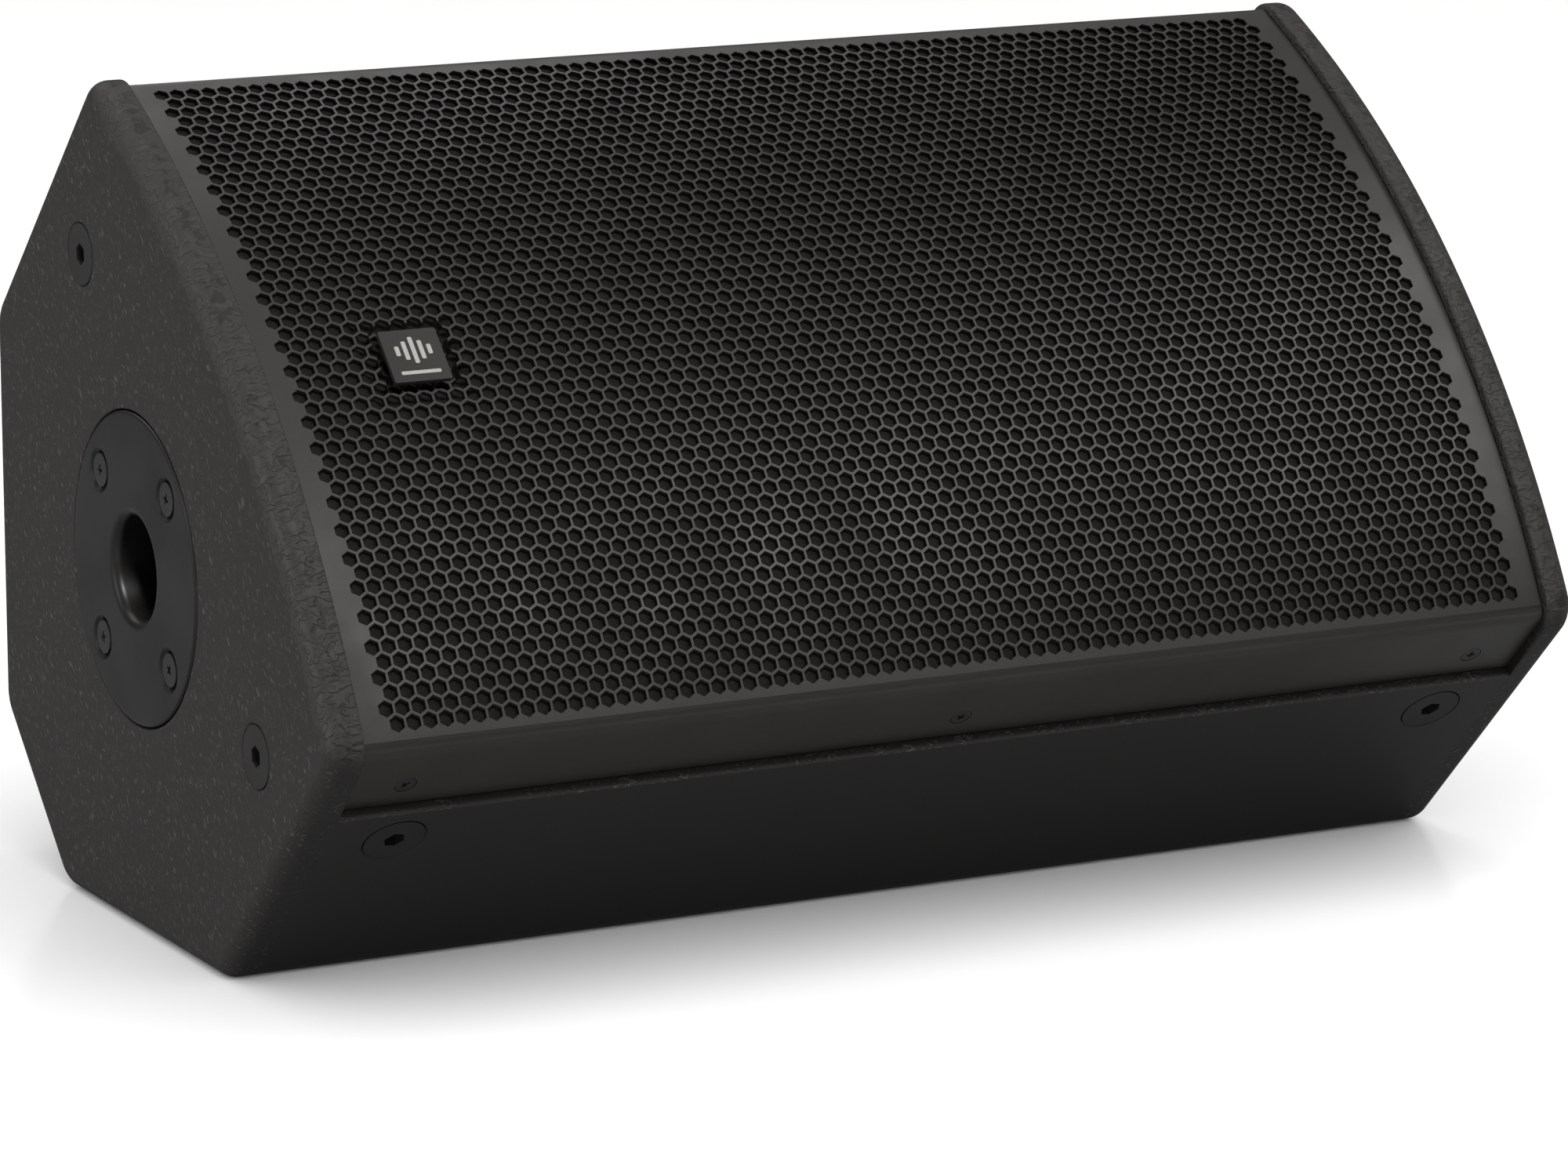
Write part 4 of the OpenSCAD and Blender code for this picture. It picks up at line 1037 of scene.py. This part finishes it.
def felt_pad():
    """A thick pad, its edges pulled in and its upper face uneven."""
    size = np.array((160, 100, 20.0))
    lump_size = 28
    grown = bmesh.new()
    bmesh.ops.create_cube(grown, size=1)
    bmesh.ops.subdivide_edges(grown, edges=grown.edges, cuts=15, use_grid_fill=True)
    points = []
    for v in grown.verts:
        p = np.array(v.co) * 2
        edge = np.abs(p[:2]).max()
        pull = 1 - 0.35 * max(0.0, edge - 0.8) / 0.2 * abs(p[2])
        lump = 0.5 * noise.noise(Vector(p * size / lump_size))
        q = p * size / 2 * np.array((1, 1, pull))
        if p[2] > 0:
            q[2] -= 0.6 + lump
        points.append(q + size / 2)
    faces = [[v.index for v in f.verts] for f in grown.faces]
    grown.free()
    return points, faces


pad_at = turn("X", 45) @ Matrix.Translation((-200, -145, -(REACH - WALL - 0.1)))
pads = [placed(felt_pad(), m) for m in (pad_at, Matrix.Scale(-1, 4, (0, 1, 0)) @ pad_at)]
wadding = piece("felt_pads", joined(pads), "wadding", nodes=["damping_wadding"])


# ---- finishes of the CAD parts that stay as they are

stays = {
    "birch_ply": ["front_baffle", "corner_battens"],
    "bright_steel": ["badge_spindle"],
    "bush_plastic": ["badge_bush"],
    "zinc_steel": ["badge_washer", "rigging_plates", "woofer_top_plate", "woofer_pole_piece",
                   "board_standoffs"],
    "frame_metal": ["woofer_frame", "compression_driver"],
    "surround_rubber": ["woofer_surround", "woofer_gasket"],
    "cone_paper": ["woofer_cone", "woofer_dust_cap"],
    "copper_wire": ["woofer_voice_coil", "crossover_inductors"],
    "spider_cloth": ["woofer_spider"],
    "ferrite": ["woofer_magnet"],
    "horn_plastic": ["horn_flare", "driver_cover", "reflex_ports", "connector_dish"],
    "black_steel": ["woofer_bolts", "horn_screws"],
    "circuit_board": ["crossover_board"],
    "capacitor_film": ["crossover_capacitors"],
    "ceramic_white": ["crossover_resistors"],
    "lead_red": ["speaker_leads"],
}
for slot, names in stays.items():
    for name in names:
        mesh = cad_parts[name].data
        mesh.materials.clear()
        mesh.materials.append(MATERIALS[slot])


# ---- floor, light

FLOOR_GAP = 0.0002
AIM = Vector((0, 0, 0.15))

floor_mesh = bpy.data.meshes.new("floor")
span = 14
floor_mesh.from_pydata([(-span, -span, 0), (span, -span, 0), (span, span, 0), (-span, span, 0)],
                       [], [(0, 1, 2, 3)])
floor = bpy.data.objects.new("floor", floor_mesh)
floor.location.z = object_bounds()[0].z - FLOOR_GAP
scene.collection.objects.link(floor)
pale = Tree("pale_floor", rough=0.22, specular=0.5)
paper = pale.mix(pale.remap(pale.noise(pale.space(), 6.0), 0.3, 0.7), rgb(0.86), rgb(0.88))
# the floor throws less light on the cabinet than its bright look would
pale.finish(colour=pale.mix(pale.add("LightPath")["Is Camera Ray"], rgb(0.18), paper))
floor_mesh.materials.append(pale.material)


def linked(name, state, *objects):
    """A collection for light linking that includes or excludes the objects."""
    group = bpy.data.collections.new(name)
    for obj in objects:
        group.objects.link(obj)
    for entry in group.collection_objects:
        entry.light_linking.link_state = state
    return group


on_floor = linked("on_floor", "INCLUDE", floor)
on_grille = linked("on_grille", "INCLUDE", grille)
on_cup = linked("on_cup", "INCLUDE", cup)
on_cabinet = linked("on_cabinet", "EXCLUDE", floor, grille, cup)


def softbox(name, bearing, rise, away, size, flux, lights):
    """A soft light at a bearing and an elevation; flux is what it gives at the cabinet."""
    lamp = bpy.data.lights.new(name, "AREA")
    lamp.shape = "RECTANGLE"
    lamp.size, lamp.size_y = size
    lamp.energy = flux * math.pi * away ** 2
    obj = bpy.data.objects.new(name, lamp)
    a, e = math.radians(bearing), math.radians(rise)
    towards = Vector((math.sin(a) * math.cos(e), -math.cos(a) * math.cos(e), math.sin(e)))
    obj.location = AIM + away * towards
    obj.rotation_mode = "QUATERNION"
    obj.rotation_quaternion = (-towards).to_track_quat("-Z", "Y")
    obj.light_linking.receiver_collection = lights
    scene.collection.objects.link(obj)


# bearings turn from the front towards the right; each light has its own strength on the
# cabinet, on the grille and on the pole socket
for name, bearing, rise, away, size, *flux in (
        ("key_front", 32, 45, 3.0, (1.6, 0.7), 0.49, 0.80, 0.49),
        ("key_right", 76, 46, 3.0, (1.2, 0.7), 0.44, 0.51, 0.44),
        ("top", 0, 80, 3.0, (1.6, 1.2), 0.18, 0.49, 0.18),
        ("left_side", 262, 12, 3.0, (1.6, 1.2), 1.15, 0, 0.5),
        ("rake", 346, 50, 3.0, (1.0, 0.6), 1.2, 0, 5.8),
        ("back_right", 150, 60, 3.0, (1.6, 1.0), 0.26, 0.46, 0),
        ("back_left", 210, 45, 2.0, (1.2, 1.0), 0.50, 0, 0.5),
        ("back_graze", 180, 30, 4.0, (1.2, 0.6), 0, 2.2, 0)):
    for part, lights, strength in zip(("cabinet", "grille", "cup"),
                                      (on_cabinet, on_grille, on_cup), flux):
        if strength:
            softbox(name + "_" + part, bearing, rise, away, size, strength, lights)

# the floor's own light: even from above, and a stronger one from the front
for name, tip, wide, strength in (("floor_above", 0, 150, 2.5), ("floor_front", -52, 120, 4.7)):
    sun = bpy.data.lights.new(name, "SUN")
    sun.angle = math.radians(wide)
    sun.energy = strength
    floor_light = bpy.data.objects.new(name, sun)
    floor_light.rotation_euler.x = -math.radians(tip)
    floor_light.light_linking.receiver_collection = on_floor
    scene.collection.objects.link(floor_light)

# the camera sees a white room; the object takes only a faint even light from it
world = bpy.data.worlds.new("studio")
scene.world = world
world.use_nodes = True
sky = world.node_tree
sky.nodes.clear()
out = sky.nodes.new("ShaderNodeOutputWorld")
ambient = sky.nodes.new("ShaderNodeBackground")
seen = sky.nodes.new("ShaderNodeBackground")
choose = sky.nodes.new("ShaderNodeMixShader")
rays = sky.nodes.new("ShaderNodeLightPath")
ambient.inputs["Strength"].default_value = 0.05
sky.links.new(rays.outputs["Is Camera Ray"], choose.inputs[0])
sky.links.new(ambient.outputs[0], choose.inputs[1])
sky.links.new(seen.outputs[0], choose.inputs[2])
sky.links.new(choose.outputs[0], out.inputs[0])
for shade in (ambient, seen):
    shade.inputs["Color"].default_value = (1, 1, 1, 1)
scene.view_settings.view_transform = "Standard"
